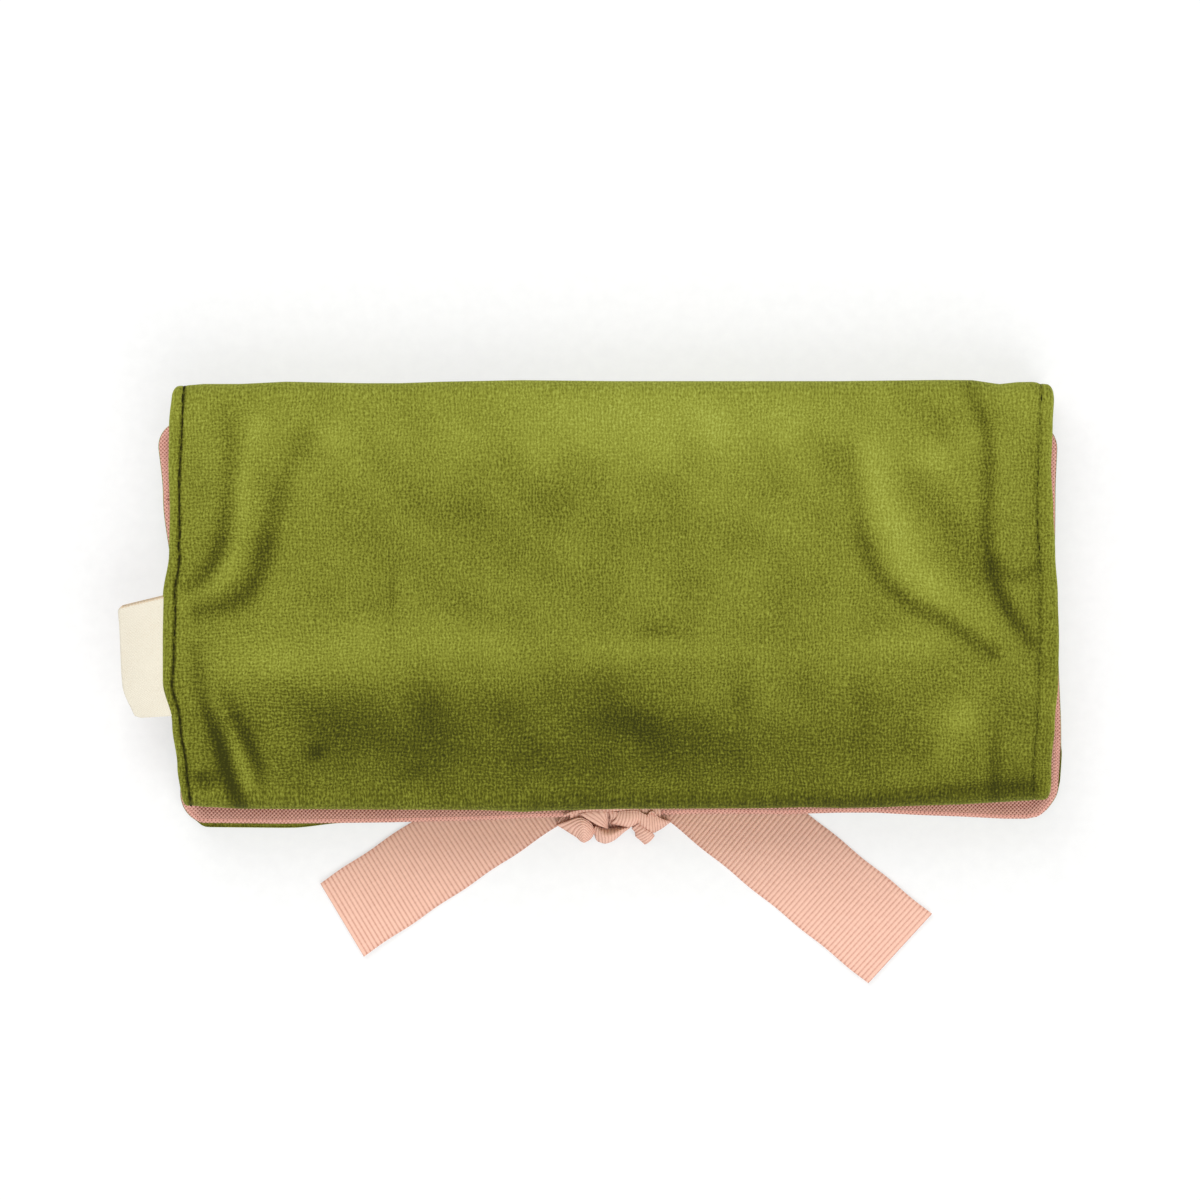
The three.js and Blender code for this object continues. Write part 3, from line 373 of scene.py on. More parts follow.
# Where the front flap's velvet has rolled out from under the lining: along its free edge, in X,
# and up its right side, in Y. Elsewhere the seam draws it in by TUCK.
ROLLED_OUT = (-112.0, -71.0)
ROLLED_OUT_RUNS = (3.5, 14)
ROLL = 0.75
ROLLED_UP = (-53.5, -39.5)
ROLLED_UP_RUNS = (3, 3)
ROLL_UP = 0.3
TUCK = 0.4

# Creases of the back panel, where the cloth dips and its colour is painted darker (below 0), partly crushed
# pile and partly painted shade, and soft ridges between them (above 0), painted lighter, partly as a painted
# highlight: half width, then X, Y and strength along the crease
CREASES = [
    (2.4, [(-102, 50, -0.2), (-101, 36, -0.4), (-102, 22, -0.55), (-104, 12, -0.95), (-108, 5, -0.7),
           (-112, 2, -0.3)]),
    (2.9, [(-78, 48, -0.1), (-83, 38, -0.3), (-88, 27, -0.45), (-91, 14, -0.85), (-94, 5, -0.8),
           (-99, -1, -0.8), (-109, -4, -0.5)]),
    (2.6, [(-94, 46, 0.3), (-97, 30, 0.35), (-98, 15, 0.3), (-104, 4, 0.3), (-112, -0.5, 0.2)]),
    (2.0, [(-110, -14, -0.3), (-108, -27, -0.7), (-104, -38, -1.3), (-101, -48, -1.4), (-98, -55, -1.0)]),
    (1.9, [(-103, -24, -0.3), (-98, -34, -0.9), (-94, -43, -0.9), (-92, -49, -0.3)]),
    (1.8, [(-100, -36, 0.3), (-96, -50, 0.5)]),
    (2.3, [(62, 42, -0.15), (64, 26, -0.3), (68, 9, -0.6), (77, -1, -0.75), (88, -7, -0.7),
           (100, -15, -0.7)]),
    (5.5, [(68, 38, 0.35), (73, 20, 0.55), (80, 6, 0.6), (90, -1, 0.5), (97, -8, 0.3)]),
    (2.0, [(94, 54, -0.4), (98.5, 43, -0.7), (99, 30, -0.7), (98.5, 17, -0.75), (100, 6, -1.0),
           (104, -3, -1.1), (110, -12, -0.7)]),
    (0.7, [(-111, -46.6, -0.3), (-108, -47.0, -0.9), (-105, -46.7, -0.4)]),
    (0.7, [(-111, -48.3, -0.3), (-107.5, -48.7, -1.0), (-104, -48.2, -0.4)]),
    (0.7, [(-110, -50.2, -0.2), (-107, -50.5, -0.7), (-104.5, -50.1, -0.3)]),
    (5.0, [(79, 30, -0.2), (90, 17, -0.35), (97, 6, -0.4)]),
    (1.8, [(101, 9, -0.4), (106, 5, -0.45), (113, 8, -0.2)]),
    (2.6, [(-20, -54, -0.5), (20, -54, -0.5), (62, -54.5, -0.8), (92, -52.3, -0.6), (110, -52, -0.65)]),
    (1.8, [(101, -34, -0.25), (100.7, -40, -0.45), (100.5, -47, -0.5), (100.5, -55, -0.4)]),
]
# How deep a crease of strength 1 dips, and the strength at which ridges stop rising
CREASE_DEPTH = 0.8
RIDGE_LIMIT = 0.4

# Clouds where the pile lies brushed darker (below 0) or lighter (above 0): middle, half length,
# half width, tone and angle in degrees
CLOUDS = [
    (-78, -41, 3.0, 2.2, -0.9, 30), (-72, -33, 15, 8, -0.5, -10), (-49, -31, 7, 9, -0.5, 0),
    (-30, -30, 11, 6, -0.3, 0), (-5, -24, 14, 5, -0.4, 0), (4, -33, 12, 5.5, -0.7, -8),
    (20, -38, 16, 7, -0.35, -6), (65, -30, 3.5, 9, -0.3, 0), (34, -27, 3, 4, -0.3, 0),
    (-52, -46, 4, 2, -0.3, 20), (60, -38, 26, 12, -0.15, 0), (106, -48.3, 8, 4.5, -0.3, 0),
    (87.5, -41.5, 4, 5, 0.35, 0),
    (92, -32, 4.0, 5.0, 0.6, 20), (84, 36, 9, 4, 0.4, 0), (84, 47, 9, 4, -0.25, -30),
    (-60, -13, 44, 7, 0.3, 0), (-92, -18, 16, 6, 0.3, 0), (76, -13, 14, 4, 0.4, 0),
    (12, -9, 6, 1.8, -0.35, 0), (-58, 1, 1.0, 6, -0.4, 0), (14, 46, 44, 10, 0.45, 0),
    (-74, 42, 6, 8, 0.25, 0), (-15, 27, 9, 5, -0.25, 0), (-40, 24, 30, 9, -0.2, 0),
    (-30, 12, 40, 8, -0.12, 0), (10, 18, 16, 5, -0.15, -20), (-45, -40, 50, 12, -0.35, 0),
    (10, -44, 60, 10, -0.3, 0), (58, 34, 4, 6, -0.2, 0), (20, -14, 30, 3, 0.2, 0),
    (112, 20, 2.0, 30, -0.2, 0),
]

# Where the rows of the knitted ground show as lines across, rather than its columns as lines
# along: the same fields as the clouds
COURSES = [
    (-92, -28, 26, 22, 1.0, 0), (-100, 24, 18, 26, 0.8, 0), (0, -40, 64, 14, 0.6, 0),
    (88, -34, 26, 18, 0.35, 0), (92, 18, 24, 30, 0.3, 0),
]

# How finely the cloth is divided
EDGE_STEPS = [
    0, 0.15, 0.4, 0.7, 1.0, 1.4, 1.8, 2.2, 2.6, 3.0, 3.5, 3.9, 4.3, 4.7, 5.1, 5.8, 6.6, 7.5, 8.5, 9.5, 10.6,
    11.8, 13, 14.2, 15.4, 16.6, 17.8, 19, 20.2, 21.6]
LIP_STEPS = [-SEAM_LIP, -SEAM_LIP / 2]
MIDDLE_COLUMNS = 176
PANEL_STEPS = {"front": 2.4, "back": 0.9, "inner": 2.4}
BEND_STEPS = 8
SPINE_STEP = 1.3
SHARP_ANGLE = 55


def hex_colour(code):
    """A linear colour from an sRGB hex value."""
    channels = [int(code[k:k + 2], 16) / 255 for k in (1, 3, 5)]
    return tuple(c / 12.92 if c <= 0.04045 else ((c + 0.055) / 1.055) ** 2.4 for c in channels)


def smooth(t):
    c = np.clip(t, 0, 1)
    return c * c * (3 - 2 * c)


def within(value, ends, runs):
    """1 between two ends, coming up and going down over a run at each."""
    return smooth((value - ends[0]) / runs[0]) * smooth((ends[1] - value) / runs[1])


def bell(value, middle, half):
    """A soft hump, 1 at its middle and fading out over a few half widths."""
    return np.exp(-((value - middle) / half) ** 2)


def wander(shares, t):
    """A smooth line through shares that are spaced evenly from 0 to 1."""
    place = np.clip(t, 0, 1) * (len(shares) - 1)
    step = np.minimum(np.floor(place).astype(int), len(shares) - 2)
    values = np.array(shares)
    return values[step] + (values[step + 1] - values[step]) * smooth(place - step)


def spline(points, count):
    """A smooth line of count points through control points along the first axis."""
    control = np.concatenate([2 * points[:1] - points[1:2], points, 2 * points[-1:] - points[-2:-1]])
    place = np.linspace(0, len(points) - 1, count)
    step = np.minimum(place.astype(int), len(points) - 2)
    t = (place - step).reshape(-1, *([1] * (points.ndim - 1)))
    a, b, c, d = (control[step + k] for k in range(4))
    return 0.5 * (
        2 * b + (c - a) * t + (2 * a - 5 * b + 4 * c - d) * t ** 2 + (3 * b - a - 3 * c + d) * t ** 3)


def along_edge(table, x):
    """Offset of a long edge at places along X."""
    return np.interp(x, [place for place, _ in table], [offset for _, offset in table])


def clouded(table, x, y):
    """Sum of a table's soft clouds at points of the back panel."""
    total = np.zeros_like(x)
    for mx, my, long, wide, value, angle in table:
        turn = math.radians(angle)
        along = ((x - mx) * math.cos(turn) + (y - my) * math.sin(turn)) / long
        across = ((y - my) * math.cos(turn) - (x - mx) * math.sin(turn)) / wide
        total += value * np.exp(-along ** 2 - across ** 2)
    return total


def creased(x, y):
    """Strength of the creases and ridges at points of the back panel."""
    total = np.zeros_like(x)
    for half_width, points in CREASES:
        line = spline(np.array(points, float), 8 * len(points))
        nearest = np.full(x.shape, np.inf)
        strength = np.zeros_like(x)
        for px, py, value in line:
            away = (x - px) ** 2 + (y - py) ** 2
            closer = away < nearest
            nearest = np.where(closer, away, nearest)
            strength = np.where(closer, value, strength)
        total += strength * np.exp(-nearest / half_width ** 2)
    return total


def ripple(x, y, seed, wavelength, count=9):
    """Smooth irregular waves of about one wavelength, between -1 and 1."""
    draw = np.random.default_rng(seed)
    total = np.zeros_like(x, dtype=float)
    for _ in range(count):
        turn = draw.uniform(0, math.tau)
        length = wavelength * draw.uniform(0.7, 1.6)
        phase = draw.uniform(0, math.tau)
        total += np.sin(math.tau * (x * math.cos(turn) + y * math.sin(turn)) / length + phase)
    return total / math.sqrt(count) / 1.6


# The folded strip. Velvet and lining follow one middle line, in Y and Z, from the front flap's
# free edge over both folds to the inner flap's free edge.

FLAT_END = SPINE_MIDDLE - FOLD_BEND
MIDDLES = {"front": FRONT_MIDDLE, "back": BACK_MIDDLE, "inner": INNER_MIDDLE}
FACINGS = {"front": -1, "back": 1, "inner": -1}
FOLDS = {"front": [FOLD_Y], "back": [-FOLD_Y, FOLD_Y], "inner": [-FOLD_Y]}


def panel_row(part, y, lipped=False):
    """A row across one flat panel: its place, the side the velvet faces and its distances."""
    free = PANELS[part]["free"]
    return {
        "part": part, "panel": part, "y": y, "z": MIDDLES[part], "ny": 0.0, "nz": FACINGS[part],
        "edge_y": y, "fold": min(abs(y - e) - HINGE_INSET for e in FOLDS[part]),
        "free": FAR if free is None else abs(y - free), "lipped": lipped,
    }


def panel_rows(part, y_from, y_to):
    """Rows over a panel, closer together near its free edge, where the velvet's lip lies too."""
    free = PANELS[part]["free"]
    inwards = 1 if y_to > y_from else -1
    steps = LIP_STEPS + EDGE_STEPS
    before = [(y_from + inwards * abs(f), f < 0) for f in steps] if free == y_from else []
    after = [(y_to - inwards * abs(f), f < 0) for f in reversed(steps)] if free == y_to else []
    start = before[-1][0] if before else y_from
    end = after[0][0] if after else y_to
    count = round(abs(end - start) / PANEL_STEPS[part])
    between = [(start + (end - start) * k / count, False) for k in range(count + 1)]
    return [panel_row(part, y, lipped) for y, lipped in before[:-1] + between + after[1:]]


def fold_rows(name, side, panel_low, panel_high, start_turn):
    """Rows round one fold: a bend, the upright strip and a second bend."""
    rows = []
    quarter = math.pi / 2
    heights = [MIDDLES[panel_low], MIDDLES[panel_high]]
    way = 1 if heights[1] > heights[0] else -1
    ends = [heights[0] + way * FOLD_BEND, heights[1] - way * FOLD_BEND]
    near = FOLD_Y - FLAT_END - HINGE_INSET

    def bent(part, panel, middle_z, turn, away):
        share = abs(math.cos(turn))
        rows.append({
            "part": part, "panel": panel, "y": side * FLAT_END + FOLD_BEND * math.cos(turn),
            "z": middle_z + FOLD_BEND * math.sin(turn), "ny": math.cos(turn), "nz": math.sin(turn),
            "edge_y": side * (FLAT_END + (FOLD_Y - FLAT_END) * share), "fold": near * away,
            "free": FAR, "lipped": False,
        })

    for k in range(1, BEND_STEPS):
        t = k / BEND_STEPS
        bent(f"{name}_first", panel_low, ends[0], start_turn + quarter * t, 1 - t)
    count = 2 * round(abs(ends[1] - ends[0]) / SPINE_STEP / 2)
    for k in range(count + 1):
        rows.append({
            "part": f"{name}_spine", "panel": "back", "y": side * SPINE_MIDDLE,
            "z": ends[0] + (ends[1] - ends[0]) * k / count, "ny": float(side), "nz": 0.0,
            "edge_y": side * FOLD_Y, "fold": 0, "free": FAR, "lipped": False,
        })
    for k in range(1, BEND_STEPS):
        t = k / BEND_STEPS
        bent(f"{name}_second", panel_high, ends[1], start_turn + quarter * (1 + t), t)
    return rows


def strip_rows():
    """All rows of the strip in order."""
    quarter = math.pi / 2
    return [
        *panel_rows("front", FRONT_FREE, FLAT_END),
        *fold_rows("top", 1, "front", "back", -quarter),
        *panel_rows("back", FLAT_END, -FLAT_END),
        *fold_rows("bottom", -1, "back", "inner", quarter),
        *panel_rows("inner", -FLAT_END, INNER_FREE),
    ]


class Strip:
    """Rows as arrays, and points on them at a height above the middle line."""

    def __init__(self, rows):
        self.part = [r["part"] for r in rows]
        columns = ("y", "z", "ny", "nz", "edge_y", "fold", "free", "lipped")
        self.y, self.z, self.ny, self.nz, self.edge_y, self.fold, self.free, self.lipped = (
            np.array([r[c] for r in rows], float) for c in columns)
        run = np.hypot(np.diff(self.y), np.diff(self.z))
        self.s = np.concatenate([[0], np.cumsum(run)])
        panels = [PANELS[r["panel"]] for r in rows]
        shares = [(r["edge_y"] - p["low"]) / (p["high"] - p["low"]) for r, p in zip(rows, panels)]

        def side_line(name):
            return np.array([wander(p[name], share) for p, share in zip(panels, shares)], float)

        self.left = -HALF_WIDTH * (1 + side_line("left"))
        self.right = HALF_WIDTH * (1 + side_line("right"))
        self.stitch_left, self.stitch_right = side_line("stitch_left"), side_line("stitch_right")
        self.curl = np.array([p["curl"] for p in panels]) * smooth(self.fold / CURL_RUNOUT)
        inside = FREE_CORNER - np.minimum(self.free, FREE_CORNER)
        self.inset = FREE_CORNER - np.sqrt(FREE_CORNER ** 2 - inside ** 2)
        # Rows of the back panel and its neighbouring bends, which take its pile marks, painted crease shade
        # and painted light gradient
        self.wear_and_shade = np.array([part in ("back", "top_second", "bottom_first") for part in self.part])
        # How much each row follows the uneven line of the top, the bottom and the front edge
        near_top = smooth((self.edge_y - FOLD_Y + EDGE_REACH) / EDGE_REACH)
        near_bottom = smooth((-self.edge_y - FOLD_Y + EDGE_REACH) / EDGE_REACH)
        self.top = near_top * np.array([part != "inner" for part in self.part])
        self.bottom = near_bottom * np.array([part != "front" for part in self.part])
        self.front = smooth(1 - self.free / FRONT_EDGE_REACH) * np.array([p == "front" for p in self.part])

    def part_of(self, rows):
        """The same strip with only some of its rows."""
        chosen = copy.copy(self)
        for name, values in vars(self).items():
            setattr(chosen, name, [values[k] for k in rows] if name == "part" else values[rows])
        return chosen

    def columns(self, steps):
        """X of every grid point, and whether it is on the velvet's lip."""
        signed = np.array(steps, float)
        left = (self.left + self.inset)[:, None]
        right = (self.right - self.inset)[:, None]
        reach = signed[-1]
        shares = np.arange(1, MIDDLE_COLUMNS) / MIDDLE_COLUMNS
        middle = left + reach + shares * (right - left - 2 * reach)
        x = np.concatenate([left + np.abs(signed), middle, right - np.abs(signed[::-1])], axis=1)
        lipped = np.concatenate([signed < 0, np.zeros(len(shares), bool), signed[::-1] < 0])
        return x, lipped[None, :] | (self.lipped > 0)[:, None]

    def edge_distance(self, x):
        """Distance to the sewn edge, round the free corners too."""
        side = np.minimum(x - self.left[:, None], self.right[:, None] - x)
        free = np.broadcast_to(self.free[:, None], x.shape)
        corner = FREE_CORNER - np.hypot(
            FREE_CORNER - np.minimum(side, FREE_CORNER), FREE_CORNER - np.minimum(free, FREE_CORNER))
        straight = np.minimum(side, free)
        return np.where((side < FREE_CORNER) & (free < FREE_CORNER), corner, straight)

    def heights(self, x):
        """Height of the velvet's and of the lining's outer face above the middle line."""
        distance = np.maximum(self.edge_distance(x), 0)
        rounded = np.sqrt(np.maximum(1 - (1 - np.minimum(distance / EDGE_ROUND, 1)) ** 2, 0))
        fold = self.fold[:, None]
        swell = EDGE_SWELL * smooth(fold / 6) * bell(distance, EDGE_ROUND, SWELL_HALF)
        stitch = np.where(x < 0, self.stitch_left[:, None], self.stitch_right[:, None])
        groove = STITCH_GROOVE * (0.4 + 0.6 * smooth(fold / 4)) * bell(distance, stitch, GROOVE_HALF)
        padding = smooth((distance - SEAM_FLANGE) / SEAM_RISE)
        lifted = smooth(fold / FOLD_RISE)
        s = np.broadcast_to(self.s[:, None], x.shape)
        y = np.broadcast_to(self.y[:, None], x.shape)
        pucker = PUCKER * bell(distance, STITCH_LINE, PUCKER_HALF)
        velvet = (VELVET + SEAM_HALF + swell - groove + pucker * ripple(x, s, 11, 7.5)) * rounded
        velvet += (HALF_ROOM - SEAM_HALF + VELVET_WAVE * ripple(x, s, 5, 38)) * padding * lifted
        lining = (LINING + SEAM_HALF + swell - 0.8 * groove + 0.8 * pucker * ripple(x, s, 17, 6.5)) * rounded
        lining += (HALF_ROOM - SEAM_HALF) * padding * smooth(fold / LINING_RISE)
        lining += LINING_WAVE * ripple(x, s, 9, 24) * padding * lifted
        flat_back = np.array([part == "back" for part in self.part])[:, None]
        dip = CREASE_DEPTH * np.minimum(creased(x, y), RIDGE_LIMIT)
        velvet += np.where(flat_back, dip * padding * lifted, 0)
        return np.maximum(velvet, 0.06), np.maximum(lining, 0.06)

    def place(self, x, height):
        """Points in metres at a signed height above the middle line, the velvet's side positive."""
        side = np.minimum(x - self.left[:, None], self.right[:, None] - x)
        h = height - self.curl[:, None] * (1 - smooth(side / CURL_WIDTH))
        # The long edges are uneven, and their corners at the folds are rounded
        beyond = FOLD_CORNER - np.clip(side, 0, FOLD_CORNER)
        corner = FOLD_CORNER - np.sqrt(FOLD_CORNER ** 2 - beyond ** 2)
        y = self.y[:, None] + self.ny[:, None] * h
        y = y + self.top[:, None] * (along_edge(TOP_EDGE, x) - corner)
        y = y + self.bottom[:, None] * (along_edge(BOTTOM_EDGE, x) + corner)
        y = y + self.front[:, None] * along_edge(FRONT_EDGE, x)
        z = self.z[:, None] + self.nz[:, None] * h
        return np.stack([x, y, z], axis=-1) * MM

    def cloth_uv(self, x):
        s = np.broadcast_to(self.s[:, None], x.shape)
        return np.stack([x, s], axis=-1) * MM


# Mesh helpers

def closed_sheet(outer, inner, uv, kept=None, **fields):
    """A closed mesh between two grids of points, leaving out the cells that aren't kept. Fields
    are values for each grid point, kept on the mesh under their names."""
    rows, cols = outer.shape[:2]
    count = rows * cols
    index = np.arange(count).reshape(rows, cols)
    if kept is None:
        kept = np.ones((rows - 1, cols - 1), bool)
    a, b = index[:-1, :-1], index[:-1, 1:]
    c, d = index[1:, 1:], index[1:, :-1]
    faces = [
        np.stack([a, b, c, d], -1)[kept],
        np.stack([a, d, c, b], -1)[kept] + count,
    ]
    padded = np.pad(kept, 1)
    sides = (
        (padded[:-2, 1:-1], a, b), (padded[1:-1, 2:], b, c),
        (padded[2:, 1:-1], c, d), (padded[1:-1, :-2], d, a),
    )
    for beside, p, q in sides:
        bare = kept & ~beside
        faces.append(np.stack([q, p, p + count, q + count], -1)[bare])
    points = np.concatenate([outer.reshape(-1, 3), inner.reshape(-1, 3)])
    uvs = np.concatenate([uv.reshape(-1, 2)] * 2)
    doubled = {name: np.concatenate([values.reshape(-1)] * 2) for name, values in fields.items()}
    return build_mesh(points, np.concatenate(faces), uvs, doubled)


def build_mesh(points, faces, uvs, fields):
    """A smooth mesh with its faces outwards, keeping only the points that are used."""
    used, faces_now = np.unique(faces, return_inverse=True)
    faces_now = faces_now.reshape(faces.shape)
    points = points[used]
    corners = points[faces_now]
    volume = 0
    for k in range(1, faces.shape[1] - 1):
        volume += np.einsum("ij,ij->i", corners[:, 0], np.cross(corners[:, k], corners[:, k + 1])).sum()
    if volume < 0:
        faces_now = faces_now[:, ::-1]
    mesh = bpy.data.meshes.new("cloth")
    mesh.from_pydata(points.tolist(), [], faces_now.tolist())
    layer = mesh.uv_layers.new(name="cloth")
    loops = np.zeros(len(mesh.loops), np.int32)
    mesh.loops.foreach_get("vertex_index", loops)
    layer.data.foreach_set("uv", uvs[used][loops].astype(np.float32).reshape(-1))
    for name, values in fields.items():
        attribute = mesh.attributes.new(name, "FLOAT", "POINT")
        attribute.data.foreach_set("value", values[used].astype(np.float32))
    mesh.shade_smooth()
    mesh.set_sharp_from_angle(angle=math.radians(SHARP_ANGLE))
    return mesh


def joined_mesh(meshes):
    """One mesh of several that share their layers."""
    whole = bmesh.new()
    for mesh in meshes:
        whole.from_mesh(mesh)
    result = bpy.data.meshes.new("cloth")
    whole.to_mesh(result)
    whole.free()
    return result


def make_piece(name, mesh, material, body=None, replaced=()):
    """An object at the origin with its material in its one slot, riding on a body if one is given, that
    replaces CAD nodes.
    """
    mesh.name = name
    mesh.materials.clear()
    mesh.materials.append(material)
    piece = bpy.data.objects.new(name, mesh)
    bpy.context.scene.collection.objects.link(piece)
    if body is not None:
        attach(piece, body)
    if replaced:
        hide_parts(*replaced)
    return piece


def polyline_mesh(lines):
    """Loose edges along lists of points, each line on its own."""
    points, edges = [], []
    for line in lines:
        start = len(points)
        points += [tuple(p) for p in line]
        edges += [(start + k, start + k + 1) for k in range(len(line) - 1)]
    mesh = bpy.data.meshes.new("line")
    mesh.from_pydata(points, edges, [])
    return mesh


# Geometry Nodes

def new_tree(name, inputs):
    """A geometry tree with named inputs, given as (name, socket type, default)."""
    tree = bpy.data.node_groups.new(name, "GeometryNodeTree")
    tree.interface.new_socket("Geometry", in_out="INPUT", socket_type="NodeSocketGeometry")
    for label, kind, default in inputs:
        socket = tree.interface.new_socket(label, in_out="INPUT", socket_type=kind)
        if default is not None:
            socket.default_value = default
    tree.interface.new_socket("Geometry", in_out="OUTPUT", socket_type="NodeSocketGeometry")
    return tree


def add_node(tree, kind, settings=None, **links):
    """A node with its settings, and with values or links for its named or numbered inputs."""
    node = tree.nodes.new(kind)
    for key, value in (settings or {}).items():
        setattr(node, key, value)
    for key, value in links.items():
        name = key.replace("_", " ")
        socket = node.inputs[int(key[1:])] if key[0] == "i" and key[1:].isdigit() else node.inputs[name]
        if isinstance(value, bpy.types.NodeSocket):
            tree.links.new(value, socket)
        else:
            socket.default_value = value
    return node


def bead_tree():
    """Rows of small rounded beads along lines: thread stitches and zip teeth."""
    tree = new_tree("Beads along a line", [
        ("Pitch", "NodeSocketFloat", 0.003),
        ("Size", "NodeSocketVector", (0.001, 0.0002, 0.0002)),
        ("Material", "NodeSocketMaterial", None),
    ])
    given = tree.nodes.new("NodeGroupInput")
    line = add_node(tree, "GeometryNodeMeshToCurve", i0=given.outputs["Geometry"])
    even = add_node(tree, "GeometryNodeResampleCurve", {"mode": "LENGTH"}, Curve=line.outputs["Curve"],
                    Length=given.outputs["Pitch"])
    tangent = add_node(tree, "GeometryNodeInputTangent")
    turn = add_node(tree, "FunctionNodeAlignRotationToVector", {"axis": "X", "pivot_axis": "AUTO"},
                    Vector=tangent.outputs["Tangent"])
    bead = add_node(tree, "GeometryNodeMeshUVSphere", Segments=8, Rings=6, Radius=1.0)
    soft = add_node(tree, "GeometryNodeSetShadeSmooth", i0=bead.outputs["Mesh"])
    row = add_node(
        tree, "GeometryNodeInstanceOnPoints", Points=even.outputs["Curve"], Instance=soft.outputs[0],
        Rotation=turn.outputs["Rotation"], Scale=given.outputs["Size"])
    return end_tree(tree, given, row.outputs["Instances"])


def end_tree(tree, given, geometry):
    """Ends a tree: its instances are made real and take the given material."""
    solid = add_node(tree, "GeometryNodeRealizeInstances", i0=geometry)
    painted = add_node(
        tree, "GeometryNodeSetMaterial", i0=solid.outputs[0], Material=given.outputs["Material"])
    out = tree.nodes.new("NodeGroupOutput")
    tree.links.new(painted.outputs[0], out.inputs[0])
    return tree


def rib_tree():
    """Raised ribs across a woven ribbon: the surface rises between grooves along its length."""
    tree = new_tree("Ribs across a ribbon", [
        ("Pitch", "NodeSocketFloat", 0.001),
        ("Height", "NodeSocketFloat", 0.0001),
        ("Material", "NodeSocketMaterial", None),
    ])
    given = tree.nodes.new("NodeGroupInput")
    high, ribbed = (
        add_node(tree, "GeometryNodeInputNamedAttribute", {"data_type": "FLOAT"}, Name=name).outputs[0]
        for name in ("along", "ribbed"))
    # The ribs are the humps of a sine and fade out at the selvedges
    for operation, *other in (
            ("DIVIDE", given.outputs["Pitch"]), ("MULTIPLY", math.pi), ("SINE",), ("ABSOLUTE",),
            ("MULTIPLY", ribbed), ("MULTIPLY", given.outputs["Height"])):
        links = {"i1": value for value in other}
        high = add_node(tree, "ShaderNodeMath", {"operation": operation}, i0=high, **links).outputs[0]
    facing = add_node(tree, "GeometryNodeInputNormal")
    lift = add_node(tree, "ShaderNodeVectorMath", {"operation": "SCALE"}, i0=facing.outputs[0], Scale=high)
    moved = add_node(tree, "GeometryNodeSetPosition", i0=given.outputs["Geometry"], Offset=lift.outputs[0])
    return end_tree(tree, given, moved.outputs[0])


def through_tree(mesh, tree, **values):
    """The mesh that a geometry tree makes from a mesh, as plain data."""
    carrier = bpy.data.objects.new("carrier", mesh)
    bpy.context.scene.collection.objects.link(carrier)
    modifier = carrier.modifiers.new("shape", "NODES")
    modifier.node_group = tree
    for item in tree.interface.items_tree:
        if item.in_out == "INPUT" and item.name in values:
            modifier[item.identifier] = values[item.name]
    bpy.context.view_layer.update()
    result = bpy.data.meshes.new_from_object(carrier.evaluated_get(bpy.context.evaluated_depsgraph_get()))
    carrier.modifiers.clear()
    bpy.data.objects.remove(carrier)
    return result


# Materials

